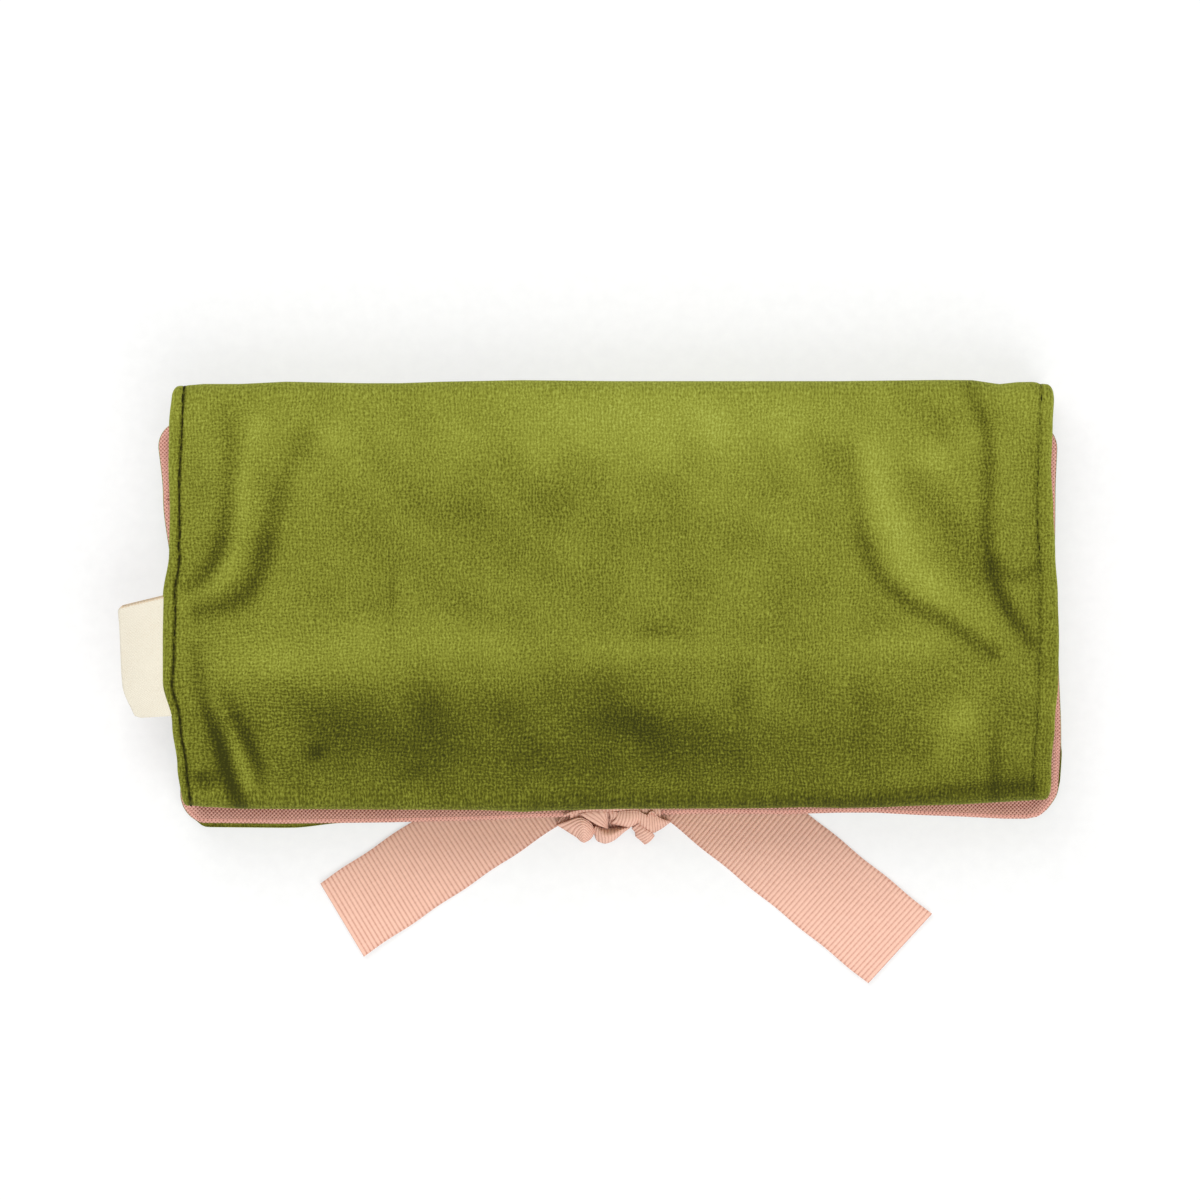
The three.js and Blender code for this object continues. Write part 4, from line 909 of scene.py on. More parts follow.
def add_velvet():
    """Olive velvet with a short cut pile: matt and silky, with the uneven columns or rows of its knitted
    ground as fine lines, stronger where the pile is brushed towards the eye, and a light bloom where it turns
    away. Its tone follows the per-point pile field, which also carries painted light and painted shade."""
    colours = bpy.context.scene.roll_colours
    material, tree, surface = new_material("Olive cut-pile velvet", roughness=0.95, specular=0.1)
    cloth = add_node(tree, "ShaderNodeUVMap", {"uv_map": "cloth"})
    nap = add_node(tree, "ShaderNodeAttribute", {"attribute_name": "nap"}).outputs["Fac"]
    courses = add_node(tree, "ShaderNodeAttribute", {"attribute_name": "courses"}).outputs["Fac"]
    # The lines bend by up to a millimetre, so the tufts lean one way or another
    bend = add_node(tree, "ShaderNodeTexNoise", Vector=cloth.outputs[0], Scale=75.0, Detail=1.0)
    drift = add_node(tree, "ShaderNodeVectorMath", {"operation": "SCALE"}, i0=bend.outputs[1], Scale=3.2 * MM)
    bent = add_node(tree, "ShaderNodeVectorMath", {"operation": "ADD"}, i0=cloth.outputs[0],
                    i1=drift.outputs[0])

    def noise(scale, detail, squeeze=1.0):
        place = add_node(tree, "ShaderNodeMapping", Vector=bent.outputs[0], Scale=(1.0, squeeze, 1.0))
        return add_node(tree, "ShaderNodeTexNoise", Vector=place.outputs[0], Scale=scale, Detail=detail,
                        Roughness=0.6).outputs[0]

    split = add_node(tree, "ShaderNodeSeparateXYZ", Vector=bent.outputs[0])

    def wave(axis, jitter):
        """Waves 0.95 mm apart along an axis, out of step from place to place."""
        turn = add_node(tree, "ShaderNodeMath", {"operation": "MULTIPLY"}, i0=split.outputs[axis],
                        i1=math.tau / (0.95 * MM))
        shifted = weighted_sum(tree, 0.0, [(turn.outputs[0], 0.0, 1.0), (noise(jitter, 1.0), 0.5, 11.0)])
        return add_node(tree, "ShaderNodeMath", {"operation": "SINE"}, i0=shifted).outputs[0]

    def shared(socket, least, most):
        """A wave at strength least where the columns show and most where the rows do."""
        strength = add_node(tree, "ShaderNodeMapRange", i0=courses, i1=0.0, i2=1.0, i3=least, i4=most)
        return add_node(tree, "ShaderNodeMath", {"operation": "MULTIPLY"}, i0=socket,
                        i1=strength.outputs[0]).outputs[0]

    columns, rows = wave("X", 800.0), wave("Y", 740.0)
    # Dark specks stand between the tufts, a little longer than wide and without any order
    scattered = add_node(tree, "ShaderNodeMapping", Vector=bent.outputs[0], Scale=(1.0, 0.8, 1.0))
    specks = add_node(tree, "ShaderNodeTexVoronoi", {"voronoi_dimensions": "2D"}, Vector=scattered.outputs[0],
                      Scale=1450.0, Randomness=1.0).outputs["Distance"]
    ground = weighted_sum(tree, 0.0, [
        (shared(columns, 0.085, 0.075), 0.0, 1.0), (shared(rows, 0.045, 0.095), 0.0, 1.0),
        (specks, 0.45, 0.24),
    ])
    fibres = noise(3600.0, 1.0, 0.8)
    clouds = noise(75.0, 3.0)
    # The ground shows a little more where the pile is brushed towards the eye
    open_pile = add_node(tree, "ShaderNodeMapRange", i0=nap, i1=-1.5, i2=0.8, i3=1.25, i4=0.95)
    grain = add_node(tree, "ShaderNodeMath", {"operation": "MULTIPLY"}, i0=ground, i1=open_pile.outputs[0])
    tone = weighted_sum(tree, 0.49, [
        (nap, 0.0, 0.35), (grain.outputs[0], 0.0, 1.0), (fibres, 0.5, 0.5), (clouds, 0.5, 0.15),
    ])
    pile = weighted_sum(tree, 0.0, [(grain.outputs[0], 0.0, 1.6), (fibres, 0.0, 0.4)])
    coat(tree, surface, tone, [
        (0.0, colours.velvet_shade), (0.28, colours.velvet_dark), (0.5, colours.velvet_middle),
        (0.75, colours.velvet_light), (1.0, colours.velvet_bloom),
    ], pile, 0.4, 0.2 * MM)
    surface.inputs["Sheen Weight"].default_value = 0.4
    surface.inputs["Sheen Roughness"].default_value = 0.45
    surface.inputs["Sheen Tint"].default_value = (*hex_colour("#bfc66a"), 1)
    return material


def add_weave(name, colour, shade, thread, depth, roughness=0.85, contrast=1.0, edge=0.0):
    """Plain woven cloth: threads pass over and under each other, so small bright dots stand in
    staggered rows between darker gaps."""
    material, tree, surface = new_material(name, roughness=roughness, specular=0.25)
    cloth = add_node(tree, "ShaderNodeUVMap", {"uv_map": "cloth"})
    wander_noise = add_node(tree, "ShaderNodeTexNoise", Vector=cloth.outputs[0], Scale=350.0, Detail=2.0)
    drift = add_node(tree, "ShaderNodeVectorMath", {"operation": "SCALE"}, i0=wander_noise.outputs[1],
                     Scale=thread * 0.35)
    moved = add_node(tree, "ShaderNodeVectorMath", {"operation": "ADD"}, i0=cloth.outputs[0],
                     i1=drift.outputs[0])
    split = add_node(tree, "ShaderNodeSeparateXYZ", Vector=moved.outputs[0])
    waves = []
    for axis in ("X", "Y"):
        turn = add_node(tree, "ShaderNodeMath", {"operation": "MULTIPLY"}, i0=split.outputs[axis],
                        i1=math.pi / thread)
        waves.append(add_node(tree, "ShaderNodeMath", {"operation": "SINE"}, i0=turn.outputs[0]).outputs[0])
    # The product of the two waves is a chequer of warp and weft crossings
    cross = add_node(tree, "ShaderNodeMath", {"operation": "MULTIPLY"}, i0=waves[0], i1=waves[1])
    slub = add_node(tree, "ShaderNodeTexNoise", Vector=cloth.outputs[0], Scale=90.0, Detail=4.0,
                    Roughness=0.7)
    fibre = add_node(tree, "ShaderNodeTexNoise", Vector=cloth.outputs[0], Scale=2600.0, Detail=1.0)
    # A cut edge sealed by heat is darker; on the slip pocket the same attribute carries a band of painted
    # shade beside the folded edge
    sealed = add_node(tree, "ShaderNodeAttribute", {"attribute_name": "sealed"})
    tone = weighted_sum(tree, 0.5, [
        (cross.outputs[0], 0.0, 0.3 * contrast), (slub.outputs[0], 0.5, 0.35), (fibre.outputs[0], 0.5, 0.35),
        (sealed.outputs["Fac"], 0.0, -edge),
    ])
    coat(tree, surface, tone, [(0.0, shade), (0.45, colour), (1.0, lightened(colour, 1.18))],
         cross.outputs[0], 0.6, depth)
    surface.inputs["Sheen Weight"].default_value = 0.12
    surface.inputs["Sheen Roughness"].default_value = 0.5
    return material


def add_grosgrain():
    """Grosgrain ribbon, woven with thick weft ribs: a soft gloss, a painted highlight along the ribs, painted
    shade in the grooves between them and fine warp threads along its length."""
    colours = bpy.context.scene.roll_colours
    sizes = bpy.context.scene.roll_sizes
    material, tree, surface = new_material("Peach grosgrain ribbon", roughness=0.62, specular=0.35)
    cloth = add_node(tree, "ShaderNodeUVMap", {"uv_map": "cloth"})
    split = add_node(tree, "ShaderNodeSeparateXYZ", Vector=cloth.outputs[0])
    turn = add_node(tree, "ShaderNodeMath", {"operation": "MULTIPLY"}, i0=split.outputs["Y"],
                    i1=math.pi / sizes.rib_pitch)
    wave = add_node(tree, "ShaderNodeMath", {"operation": "SINE"}, i0=turn.outputs[0])
    rib = add_node(tree, "ShaderNodeMath", {"operation": "ABSOLUTE"}, i0=wave.outputs[0])
    # Warp threads 0.4 mm apart, drawn faintly
    warp = add_node(tree, "ShaderNodeMapping", Vector=cloth.outputs[0], Scale=(1.0, 0.12, 1.0))
    threads = add_node(tree, "ShaderNodeTexNoise", Vector=warp.outputs[0], Scale=2400.0, Detail=2.0)
    clouds = add_node(tree, "ShaderNodeTexNoise", Vector=cloth.outputs[0], Scale=70.0, Detail=3.0)
    # The selvedges, where no rib stands, are beaded by the turns of the weft
    ribbed = add_node(tree, "ShaderNodeAttribute", {"attribute_name": "ribbed"})
    beads = add_node(tree, "ShaderNodeTexVoronoi", {"voronoi_dimensions": "2D"}, Vector=cloth.outputs[0],
                     Scale=1500.0, Randomness=0.4)
    plain = add_node(tree, "ShaderNodeMath", {"operation": "SUBTRACT"}, i0=1.0, i1=ribbed.outputs["Fac"])
    beaded = add_node(tree, "ShaderNodeMath", {"operation": "MULTIPLY"}, i0=beads.outputs["Distance"],
                      i1=plain.outputs[0])
    # Painted light: the rib term paints the tops of the ribs lighter, a painted highlight, and the grooves
    # darker, painted shade
    tone = weighted_sum(tree, 0.38, [
        (rib.outputs[0], 0.0, 0.65), (threads.outputs[0], 0.5, 0.4), (clouds.outputs[0], 0.5, 0.15),
        (ribbed.outputs["Fac"], 0.0, -0.34), (beaded.outputs[0], 0.0, -0.7), (plain.outputs[0], 0.0, -0.35),
    ])
    height = weighted_sum(tree, 0.0, [(rib.outputs[0], 0.0, 0.7), (threads.outputs[0], 0.0, 0.4)])
    coat(tree, surface, tone, [
        (0.0, colours.ribbon_shade), (0.4, colours.ribbon), (0.85, lightened(colours.ribbon, 1.18)),
    ], height, 0.5, 0.12 * MM)
    surface.inputs["Sheen Weight"].default_value = 0.1
    return material


def add_thread(name, colour):
    """Spun polyester sewing thread: a twisted strand with a slight gloss and dark gaps."""
    return add_speckled(
        name, (0.9, 0.1), (2500.0, 1.0), (darkened(colour, 0.6), colour), (0.4, 0.05 * MM))[0]


def add_brass():
    """Polished brass, stamped and tumbled: warm mirror gloss, blurred a little by fine scuffs."""
    brass = bpy.context.scene.roll_colours.brass
    material, tree, surface, scuffs = add_speckled(
        "Tumbled brass", (0.28, 0.5), (900.0, 4.0), (darkened(brass, 0.8), brass), (0.15, 0.03 * MM))
    surface.inputs["Metallic"].default_value = 1.0
    tree.links.new(weighted_sum(tree, 0.26, [(scuffs, 0.5, 0.3)]), surface.inputs["Roughness"])
    return material


def add_nylon():
    """Dyed nylon, extruded and woven into zip teeth: a waxy plastic gloss."""
    dyed = bpy.context.scene.roll_colours.zip
    return add_speckled(
        "Dyed zip nylon", (0.38, 0.5), (700.0, 2.0), (darkened(dyed, 0.8), lightened(dyed, 1.1)))[0]


def add_batting():
    """Polyester batting, needled from loose fibres: white, matt and clouded."""
    return add_speckled(
        "Needled batting", (1.0, 0.1), (900.0, 5.0), (hex_colour("#d9d6cd"), hex_colour("#f5f3ee")),
        (0.7, 0.4 * MM))[0]


def add_speckled(name, finish, noise, tones, relief=None):
    """A material in two tones, mixed by a fine noise that also raises it. Finish is its roughness
    and specular level, noise its scale and detail, and relief its strength and depth."""
    material, tree, surface = new_material(name, *finish)
    place = add_node(tree, "ShaderNodeTexCoord")
    speck = add_node(
        tree, "ShaderNodeTexNoise", Vector=place.outputs["Object"], Scale=noise[0],
        Detail=noise[1]).outputs[0]
    stops = [(0.3, tones[0]), (0.7, tones[1])]
    coat(tree, surface, speck, stops, *((speck, *relief) if relief else ()))
    return material, tree, surface, speck


def new_material(name, roughness, specular):
    material = bpy.data.materials.new(name)
    material.use_nodes = True
    tree = material.node_tree
    surface = next(n for n in tree.nodes if n.type == "BSDF_PRINCIPLED")
    surface.inputs["Roughness"].default_value = roughness
    surface.inputs["Specular IOR Level"].default_value = specular
    return material, tree, surface


def lightened(colour, factor):
    return tuple(min(c * factor, 1.0) for c in colour[:3])


def darkened(colour, factor):
    return tuple(c * factor for c in colour[:3])


def weighted_sum(tree, base, terms):
    """base plus each (socket - offset) times its weight."""
    total = None
    for socket, offset, weight in terms:
        start = base - offset * weight if total is None else -offset * weight
        part = add_node(
            tree, "ShaderNodeMath", {"operation": "MULTIPLY_ADD"}, i0=socket, i1=weight, i2=start).outputs[0]
        total = part if total is None else add_node(
            tree, "ShaderNodeMath", {"operation": "ADD"}, i0=total, i1=part).outputs[0]
    return total


def coat(tree, surface, tone, stops, height=None, strength=0.0, depth=0.0):
    """Colours a surface from stop to stop as its tone grows, and raises it by a height."""
    ramp = add_node(tree, "ShaderNodeValToRGB", i0=tone)
    elements = ramp.color_ramp.elements
    while len(elements) < len(stops):
        elements.new(0.5)
    for element, (place, colour) in zip(elements, stops):
        element.position = place
        element.color = (*colour[:3], 1)
    tree.links.new(ramp.outputs[0], surface.inputs["Base Color"])
    if height is not None:
        bump = add_node(tree, "ShaderNodeBump", Strength=strength, Distance=depth, Height=height)
        tree.links.new(bump.outputs[0], surface.inputs["Normal"])


# Properties

def colour_property(name, description, code):
    return FloatVectorProperty(
        name=name, description=description, subtype="COLOR", size=3, min=0, max=1, default=hex_colour(code))


class RollColours(bpy.types.PropertyGroup):
    velvet_shade: colour_property("Velvet shade", "Deepest tone between the tufts", "#33340b")
    velvet_dark: colour_property("Velvet dark", "Where the pile points at the eye", "#555614")
    velvet_middle: colour_property("Velvet", "The velvet's usual tone", "#777a28")
    velvet_light: colour_property("Velvet light", "Where the pile lies away", "#92973b")
    velvet_bloom: colour_property("Velvet bloom", "Tips of the pile in the light", "#aab254")
    lining: colour_property("Lining", "Lining cloth", "#e2ab9b")
    lining_shade: colour_property("Lining shade", "Gaps between the lining's threads", "#8d4a3c")
    ribbon: colour_property("Ribbon", "Grosgrain ribbon", "#e6b8a4")
    # ribbon_shade is used as the painted shade of the grooves between the ribs
    ribbon_shade: colour_property("Ribbon shade", "Grooves between the ribs", "#c98f7b")
    label: colour_property("Label", "Woven label", "#dfd8c6")
    label_shade: colour_property("Label shade", "Gaps and sealed edges of the label", "#d0b490")
    olive_thread: colour_property("Olive thread", "Topstitching of the velvet", "#2c2b07")
    pink_thread: colour_property("Pink thread", "Topstitching of the lining", "#b97f70")
    zip: colour_property("Zip", "Nylon teeth and tape", "#bf8a7b")
    brass: colour_property("Brass", "Sliders, stops and press stud", "#d9b36a")


class RollSizes(bpy.types.PropertyGroup):
    stitch_pitch: FloatProperty(
        name="Stitch pitch", description="Distance from stitch to stitch", default=3.3 * MM,
        unit="LENGTH", precision=4)
    stitch_length: FloatProperty(
        name="Stitch length", description="Visible length of one stitch", default=2.7 * MM,
        unit="LENGTH", precision=4)
    thread: FloatProperty(
        name="Thread", description="Thickness of the sewing thread", default=0.6 * MM,
        unit="LENGTH", precision=4)
    rib_pitch: FloatProperty(
        name="Rib pitch", description="Distance between the ribs of the ribbon", default=1.19 * MM,
        unit="LENGTH", precision=5)
    rib_height: FloatProperty(
        name="Rib height", description="Height of a rib above its grooves", default=0.15 * MM,
        unit="LENGTH", precision=5)
    lining_thread: FloatProperty(
        name="Lining thread", description="Thread spacing of the lining's weave", default=0.52 * MM,
        unit="LENGTH", precision=5)
    tooth_pitch: FloatProperty(
        name="Tooth pitch", description="Distance between the teeth of one zip row", default=1.7 * MM,
        unit="LENGTH", precision=5)


MATERIALS = {}


def finish_of(name):
    """The shared material of that name, made when it is first asked for."""
    colours = bpy.context.scene.roll_colours
    sizes = bpy.context.scene.roll_sizes
    makers = {
        "velvet": add_velvet,
        # The lining's edge weight sets how dark the band of painted shade on the slip pocket is
        "lining": lambda: add_weave(
            "Dusty pink lining canvas", colours.lining, colours.lining_shade, sizes.lining_thread, 0.2 * MM,
            contrast=1.5, edge=0.22),
        "tape": lambda: add_weave(
            "Woven zip tape", colours.zip, darkened(colours.zip, 0.55), 0.6 * MM, 0.1 * MM, 0.75),
        "label": lambda: add_weave(
            "Cream woven label satin", colours.label, colours.label_shade, 0.4 * MM, 0.05 * MM, 0.7, 0.35,
            edge=0.5),
        "ribbon": add_grosgrain,
        "olive thread": lambda: add_thread("Olive spun thread", colours.olive_thread),
        "pink thread": lambda: add_thread("Pink spun thread", colours.pink_thread),
        "brass": add_brass,
        "nylon": add_nylon,
        "batting": add_batting,
    }
    if name not in MATERIALS:
        MATERIALS[name] = makers[name]()
    return MATERIALS[name]


# The layers of the strip

STRIP = Strip(strip_rows())
BODIES = {"front": "front_flap", "back": "back_panel", "inner": "inner_flap"}

# The four halves of the folds: the two bodies that the cloth bends between, and the places, in Y
# and Z, where its bend starts and ends in the velvet and in the lining
FOLD_SPANS = {
    "top_fold_lower": {
        "bodies": ("front_flap", "top_spine"), "node": "top_fold",
        "velvet": ((50.35, 0.7), (56.35, 7.5)), "lining": ((48.0, 6.1), (54.15, 11.3)),
    },
    "top_fold_upper": {
        "bodies": ("top_spine", "back_panel"), "node": "top_fold",
        "velvet": ((56.35, 20.8), (50.35, 27.6)), "lining": ((54.15, 17.0), (48.0, 22.2)),
    },
    "bottom_fold_upper": {
        "bodies": ("back_panel", "bottom_spine"), "node": "bottom_fold",
        "velvet": ((-50.35, 27.6), (-56.35, 20.8)), "lining": ((-48.0, 22.2), (-54.15, 18.6)),
    },
    "bottom_fold_lower": {
        "bodies": ("bottom_spine", "inner_flap"), "node": "bottom_fold",
        "velvet": ((-56.35, 15.8), (-50.35, 9.0)), "lining": ((-54.15, 18.2), (-48.0, 14.4)),
    },
}
SPLIT_ROWS = 3


def strip_spans():
    """The strip cut where its cloth can follow one joint each."""
    def first(part):
        return STRIP.part.index(part)

    def last(part):
        return len(STRIP.part) - 1 - STRIP.part[::-1].index(part)

    def middle(part):
        return (first(part) + last(part)) // 2

    ends = {
        "front": (first("front"), last("front") - SPLIT_ROWS),
        "top_fold_lower": (last("front") - SPLIT_ROWS, middle("top_spine")),
        "top_fold_upper": (middle("top_spine"), first("back") + SPLIT_ROWS),
        "back": (first("back") + SPLIT_ROWS, last("back") - SPLIT_ROWS),
        "bottom_fold_upper": (last("back") - SPLIT_ROWS, middle("bottom_spine")),
        "bottom_fold_lower": (middle("bottom_spine"), first("inner") + SPLIT_ROWS),
        "inner": (first("inner") + SPLIT_ROWS, last("inner")),
    }
    return {name: STRIP.part_of(np.arange(low, high + 1)) for name, (low, high) in ends.items()}


def nap_tone(strip, x):
    """How the pile lies, with painted light: on the back panel marks of handling, creases painted darker,
    partly as painted shade, and a painted gradient lighter towards the top fold; softer clouds elsewhere.
    """
    s = np.broadcast_to(strip.s[:, None], x.shape)
    y = np.broadcast_to(strip.y[:, None], x.shape)
    plain = 0.45 * ripple(x, s, 31, 62) + 0.3 * ripple(x, s, 37, 27)
    # Painted light: the y / FOLD_Y term paints the back panel lighter towards its top fold and darker towards
    # its bottom fold
    wear_and_shade = clouded(CLOUDS, x, y) + creased(x, y) + 0.25 * y / FOLD_Y + 0.1 * ripple(x, s, 41, 15, 14)
    distance = strip.edge_distance(x)
    stitch = np.where(x < 0, strip.stitch_left[:, None], strip.stitch_right[:, None])
    # Painted shade along the stitch grooves, deeper on the left line than on the right one, and a painted
    # highlight on the rim at the sewn edge
    depth = np.where(x < 0, 1.5, 0.35)
    rim = 0.38 * bell(distance, 0, 0.8) - depth * bell(distance, stitch, 0.4)
    return np.where(strip.wear_and_shade[:, None], wear_and_shade, plain) + rim


def velvet_mesh(strip):
    """The velvet over a span, rolled over the seam by a narrow lip where it shows there."""
    x, lipped = strip.columns(LIP_STEPS + EDGE_STEPS)
    up, down = strip.heights(x)
    y = np.broadcast_to(strip.y[:, None], x.shape)
    front = np.array([part == "front" for part in strip.part])[:, None]
    rolled = within(x, ROLLED_OUT, ROLLED_OUT_RUNS) * (strip.front > 0)[:, None]
    risen = within(y, ROLLED_UP, ROLLED_UP_RUNS) * (x > 0) * front
    shown = np.maximum(rolled, risen)
    lip = np.maximum(down * shown, 0.1)
    outer = strip.place(x, np.where(lipped, -lip, up))
    under = np.where(lipped, -np.maximum(lip - LIP_CLOTH, 0.03), up - np.minimum(VELVET, 0.8 * up))
    inner = strip.place(x, under)
    side = np.maximum(strip.right[:, None] - x, 0)
    moved_y = (TUCK * (1 - shown) * front - ROLL * rolled) * (1 - smooth(strip.free / 2))[:, None]
    moved_x = ROLL_UP * risen * (1 - smooth(side / 2))
    for grid in (outer, inner):
        grid[..., 0] += moved_x * MM
        grid[..., 1] += moved_y * MM
    courses = np.where(strip.wear_and_shade[:, None], clouded(COURSES, x, y), 0.4)
    return closed_sheet(outer, inner, strip.cloth_uv(x), nap=nap_tone(strip, x), courses=courses)


def lining_mesh(strip):
    """The lining over a span, tucked under the velvet's lip at the seam."""
    inside = strip.part_of(np.flatnonzero((strip.lipped == 0) & (strip.free >= LINING_START)))
    x, _ = inside.columns([f for f in EDGE_STEPS if f >= LINING_START])
    _, down = inside.heights(x)
    tuck = LIP_TUCK * bell(inside.edge_distance(x), SEAM_LIP, 0.5)
    height = -np.maximum(down - tuck, 0.05)
    outer = inside.place(x, height)
    under = inside.place(x, height + np.minimum(LINING, 0.8 * down))
    return closed_sheet(outer, under, inside.cloth_uv(x))


def batting_mesh(strip):
    """The pad between velvet and lining, clear of the seams and folds."""
    inside = strip.part_of(np.flatnonzero((strip.free >= PAD_START) & (strip.fold >= PAD_START / 2)))
    x, _ = inside.columns([f for f in EDGE_STEPS if f >= PAD_START])
    up, down = inside.heights(x)
    outer = inside.place(x, up - VELVET - LAYER_GAP)
    under = inside.place(x, -(down - LINING - LAYER_GAP))
    return closed_sheet(outer, under, inside.cloth_uv(x))


def place_layer(layer, make, finish):
    """Makes one layer over the whole strip: panels ride on their bodies, and the fold pieces stay where they
    are built.
    """
    for span, strip in strip_spans().items():
        mesh = make(strip)
        name = f"{layer}_{span}"
        if span in BODIES:
            piece = make_piece(name, mesh, finish, BODIES[span], [f"{span}_{layer}"])
            continue
        fold = FOLD_SPANS[span]
        piece = make_piece(name, mesh, finish, None, [f"{fold['node']}_{layer}"])
        bend_with(piece)


def bend_with(piece):
    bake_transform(piece)


class ROLL_OT_batting(bpy.types.Operator):
    """Batting: the needled pads inside the three panels"""
    bl_idname = "roll.batting"
    bl_label = "Batting"

    def execute(self, context):
        for span, strip in strip_spans().items():
            if span in BODIES:
                piece = make_piece(
                    f"batting_{span}", batting_mesh(strip), finish_of("batting"),
                    BODIES[span], [f"{span}_wadding"])
        return {"FINISHED"}


class ROLL_OT_velvet(bpy.types.Operator):
    """Velvet cover: three panels and the cloth of the two folds"""
    bl_idname = "roll.velvet"
    bl_label = "Velvet cover"

    def execute(self, context):
        place_layer("velvet", velvet_mesh, finish_of("velvet"))
        return {"FINISHED"}


class ROLL_OT_lining(bpy.types.Operator):
    """Lining: three panels and the cloth inside the two folds"""
    bl_idname = "roll.lining"
    bl_label = "Lining"

    def execute(self, context):
        place_layer("lining", lining_mesh, finish_of("lining"))
        return {"FINISHED"}


# Topstitching

def seam_line(strip, side, velvet):
    """The topstitch line up one side of a span, and round its free corner if it has one."""
    rows = np.flatnonzero((strip.lipped == 0) & (strip.free >= free_stitch(strip) - 0.01))
    chosen = strip.part_of(rows)
    stitch = chosen.stitch_left if side < 0 else chosen.stitch_right
    radius = FREE_CORNER - stitch
    beyond = np.clip(FREE_CORNER - chosen.free, 0, radius)
    inset = FREE_CORNER - np.sqrt(np.maximum(radius ** 2 - beyond ** 2, 0))
    inset = inset + 0.3 * ripple(chosen.s, 0 * chosen.s, 61, 7) * (chosen.free > FREE_CORNER)
    x = (chosen.left + inset if side < 0 else chosen.right - inset)[:, None]
    up, down = chosen.heights(x)
    # On the lining's side the thread lies on the pocket cloth that the seam holds
    covered = np.array([under_pocket(chosen, k) for k in range(len(x))])[:, None]
    down = down + (POCKET_CLOTH + LAYER_REST) * covered
    # The right line on the velvet lies deeper in the pile
    sink = THREAD_SINK + (0.2 if velvet and side > 0 else 0)
    return chosen.place(x, up - sink if velvet else -(down - sink))[:, 0]


def free_stitch(strip):
    """Distance of the topstitch line from a span's free edge."""
    return FRONT_STITCH_LINE if strip.part[0] == "front" else STITCH_LINE


def under_pocket(strip, row):
    """Whether a row of the strip is covered by a pocket."""
    part, y = strip.part[row], strip.y[row]
    if part == "front":
        return y < SLIP_MOUTH
    return part in ZIP_POCKETS and ZIP_POCKETS[part][0] < y < ZIP_POCKETS[part][1]


def free_line(strip, velvet):
    """The topstitch line along a span's free edge, from its left to its right corner."""
    row = strip.part_of([int(np.argmin(np.abs(strip.free - free_stitch(strip)) + 9 * strip.lipped))])
    x = np.linspace(row.left[0] + FREE_CORNER, row.right[0] - FREE_CORNER, 90)[None, :]
    up, down = row.heights(x)
    down = down + (POCKET_CLOTH + LAYER_REST) * under_pocket(row, 0)
    return row.place(x, up - THREAD_SINK if velvet else -(down - THREAD_SINK))[0]


def stitch_lines(strip, velvet):
    left, right = seam_line(strip, -1, velvet), seam_line(strip, 1, velvet)
    if strip.free.min() >= FAR:
        return [left, right]
    along = free_line(strip, velvet)
    if strip.free[0] < strip.free[-1]:
        return [np.concatenate([left[::-1], along[1:-1], right])]
    return [np.concatenate([left, along[1:-1], right[::-1]])]


def stitched(lines, finish):
    """Thread stitches along lines, as one mesh."""
    sizes = bpy.context.scene.roll_sizes
    size = (sizes.stitch_length / 2, sizes.thread / 2, sizes.thread / 2)
    return through_tree(
        polyline_mesh(lines), bead_tree(), Pitch=sizes.stitch_pitch, Size=size, Material=finish)


class ROLL_OT_stitches(bpy.types.Operator):
    """Topstitching: thread along the sewn edges, olive on the velvet and pink on the lining"""
    bl_idname = "roll.stitches"
    bl_label = "Topstitching"

    def execute(self, context):
        for layer, thread in (("velvet", "olive thread"), ("lining", "pink thread")):
            for span, strip in strip_spans().items():
                finish = finish_of(thread)
                mesh = stitched(stitch_lines(strip, layer == "velvet"), finish)
                body = BODIES.get(span)
                piece = make_piece(f"stitches_{layer}_{span}", mesh, finish, body)
                if body is None:
                    bend_with(piece)
        return {"FINISHED"}


# Pockets and zips

def pocket_grid(part, ys, lift, thickness):
    """A cloth over a panel's lining between the side seams, lift above it where it is padded."""
    strip = Strip([panel_row(part, y) for y in ys])
    steps = np.array([f for f in EDGE_STEPS if POCKET_INSET <= f < WINDOW_SIDE])
    across = np.arange(-WINDOW_LENGTH / 2, WINDOW_LENGTH / 2 + 0.01, WINDOW_LENGTH / WINDOW_COLUMNS)
    x = np.concatenate([
        (strip.left + strip.inset)[:, None] + steps, np.broadcast_to(across, (len(ys), len(across))),
        (strip.right - strip.inset)[:, None] - steps[::-1]], axis=1)
    _, down = strip.heights(x)
    distance = strip.edge_distance(x)
    padded = smooth((distance - SEAM_FLANGE) / SEAM_RISE) * smooth(strip.fold[:, None] / LINING_RISE)
    close = LAYER_REST + (lift - LAYER_REST) * padded
    outer = strip.place(x, -(down + close + thickness))
    under = strip.place(x, -(down + close))
    return outer, under, strip.cloth_uv(x), x


def spread(low, high, step):
    return list(np.linspace(low, high, max(2, round(abs(high - low) / step) + 1)))


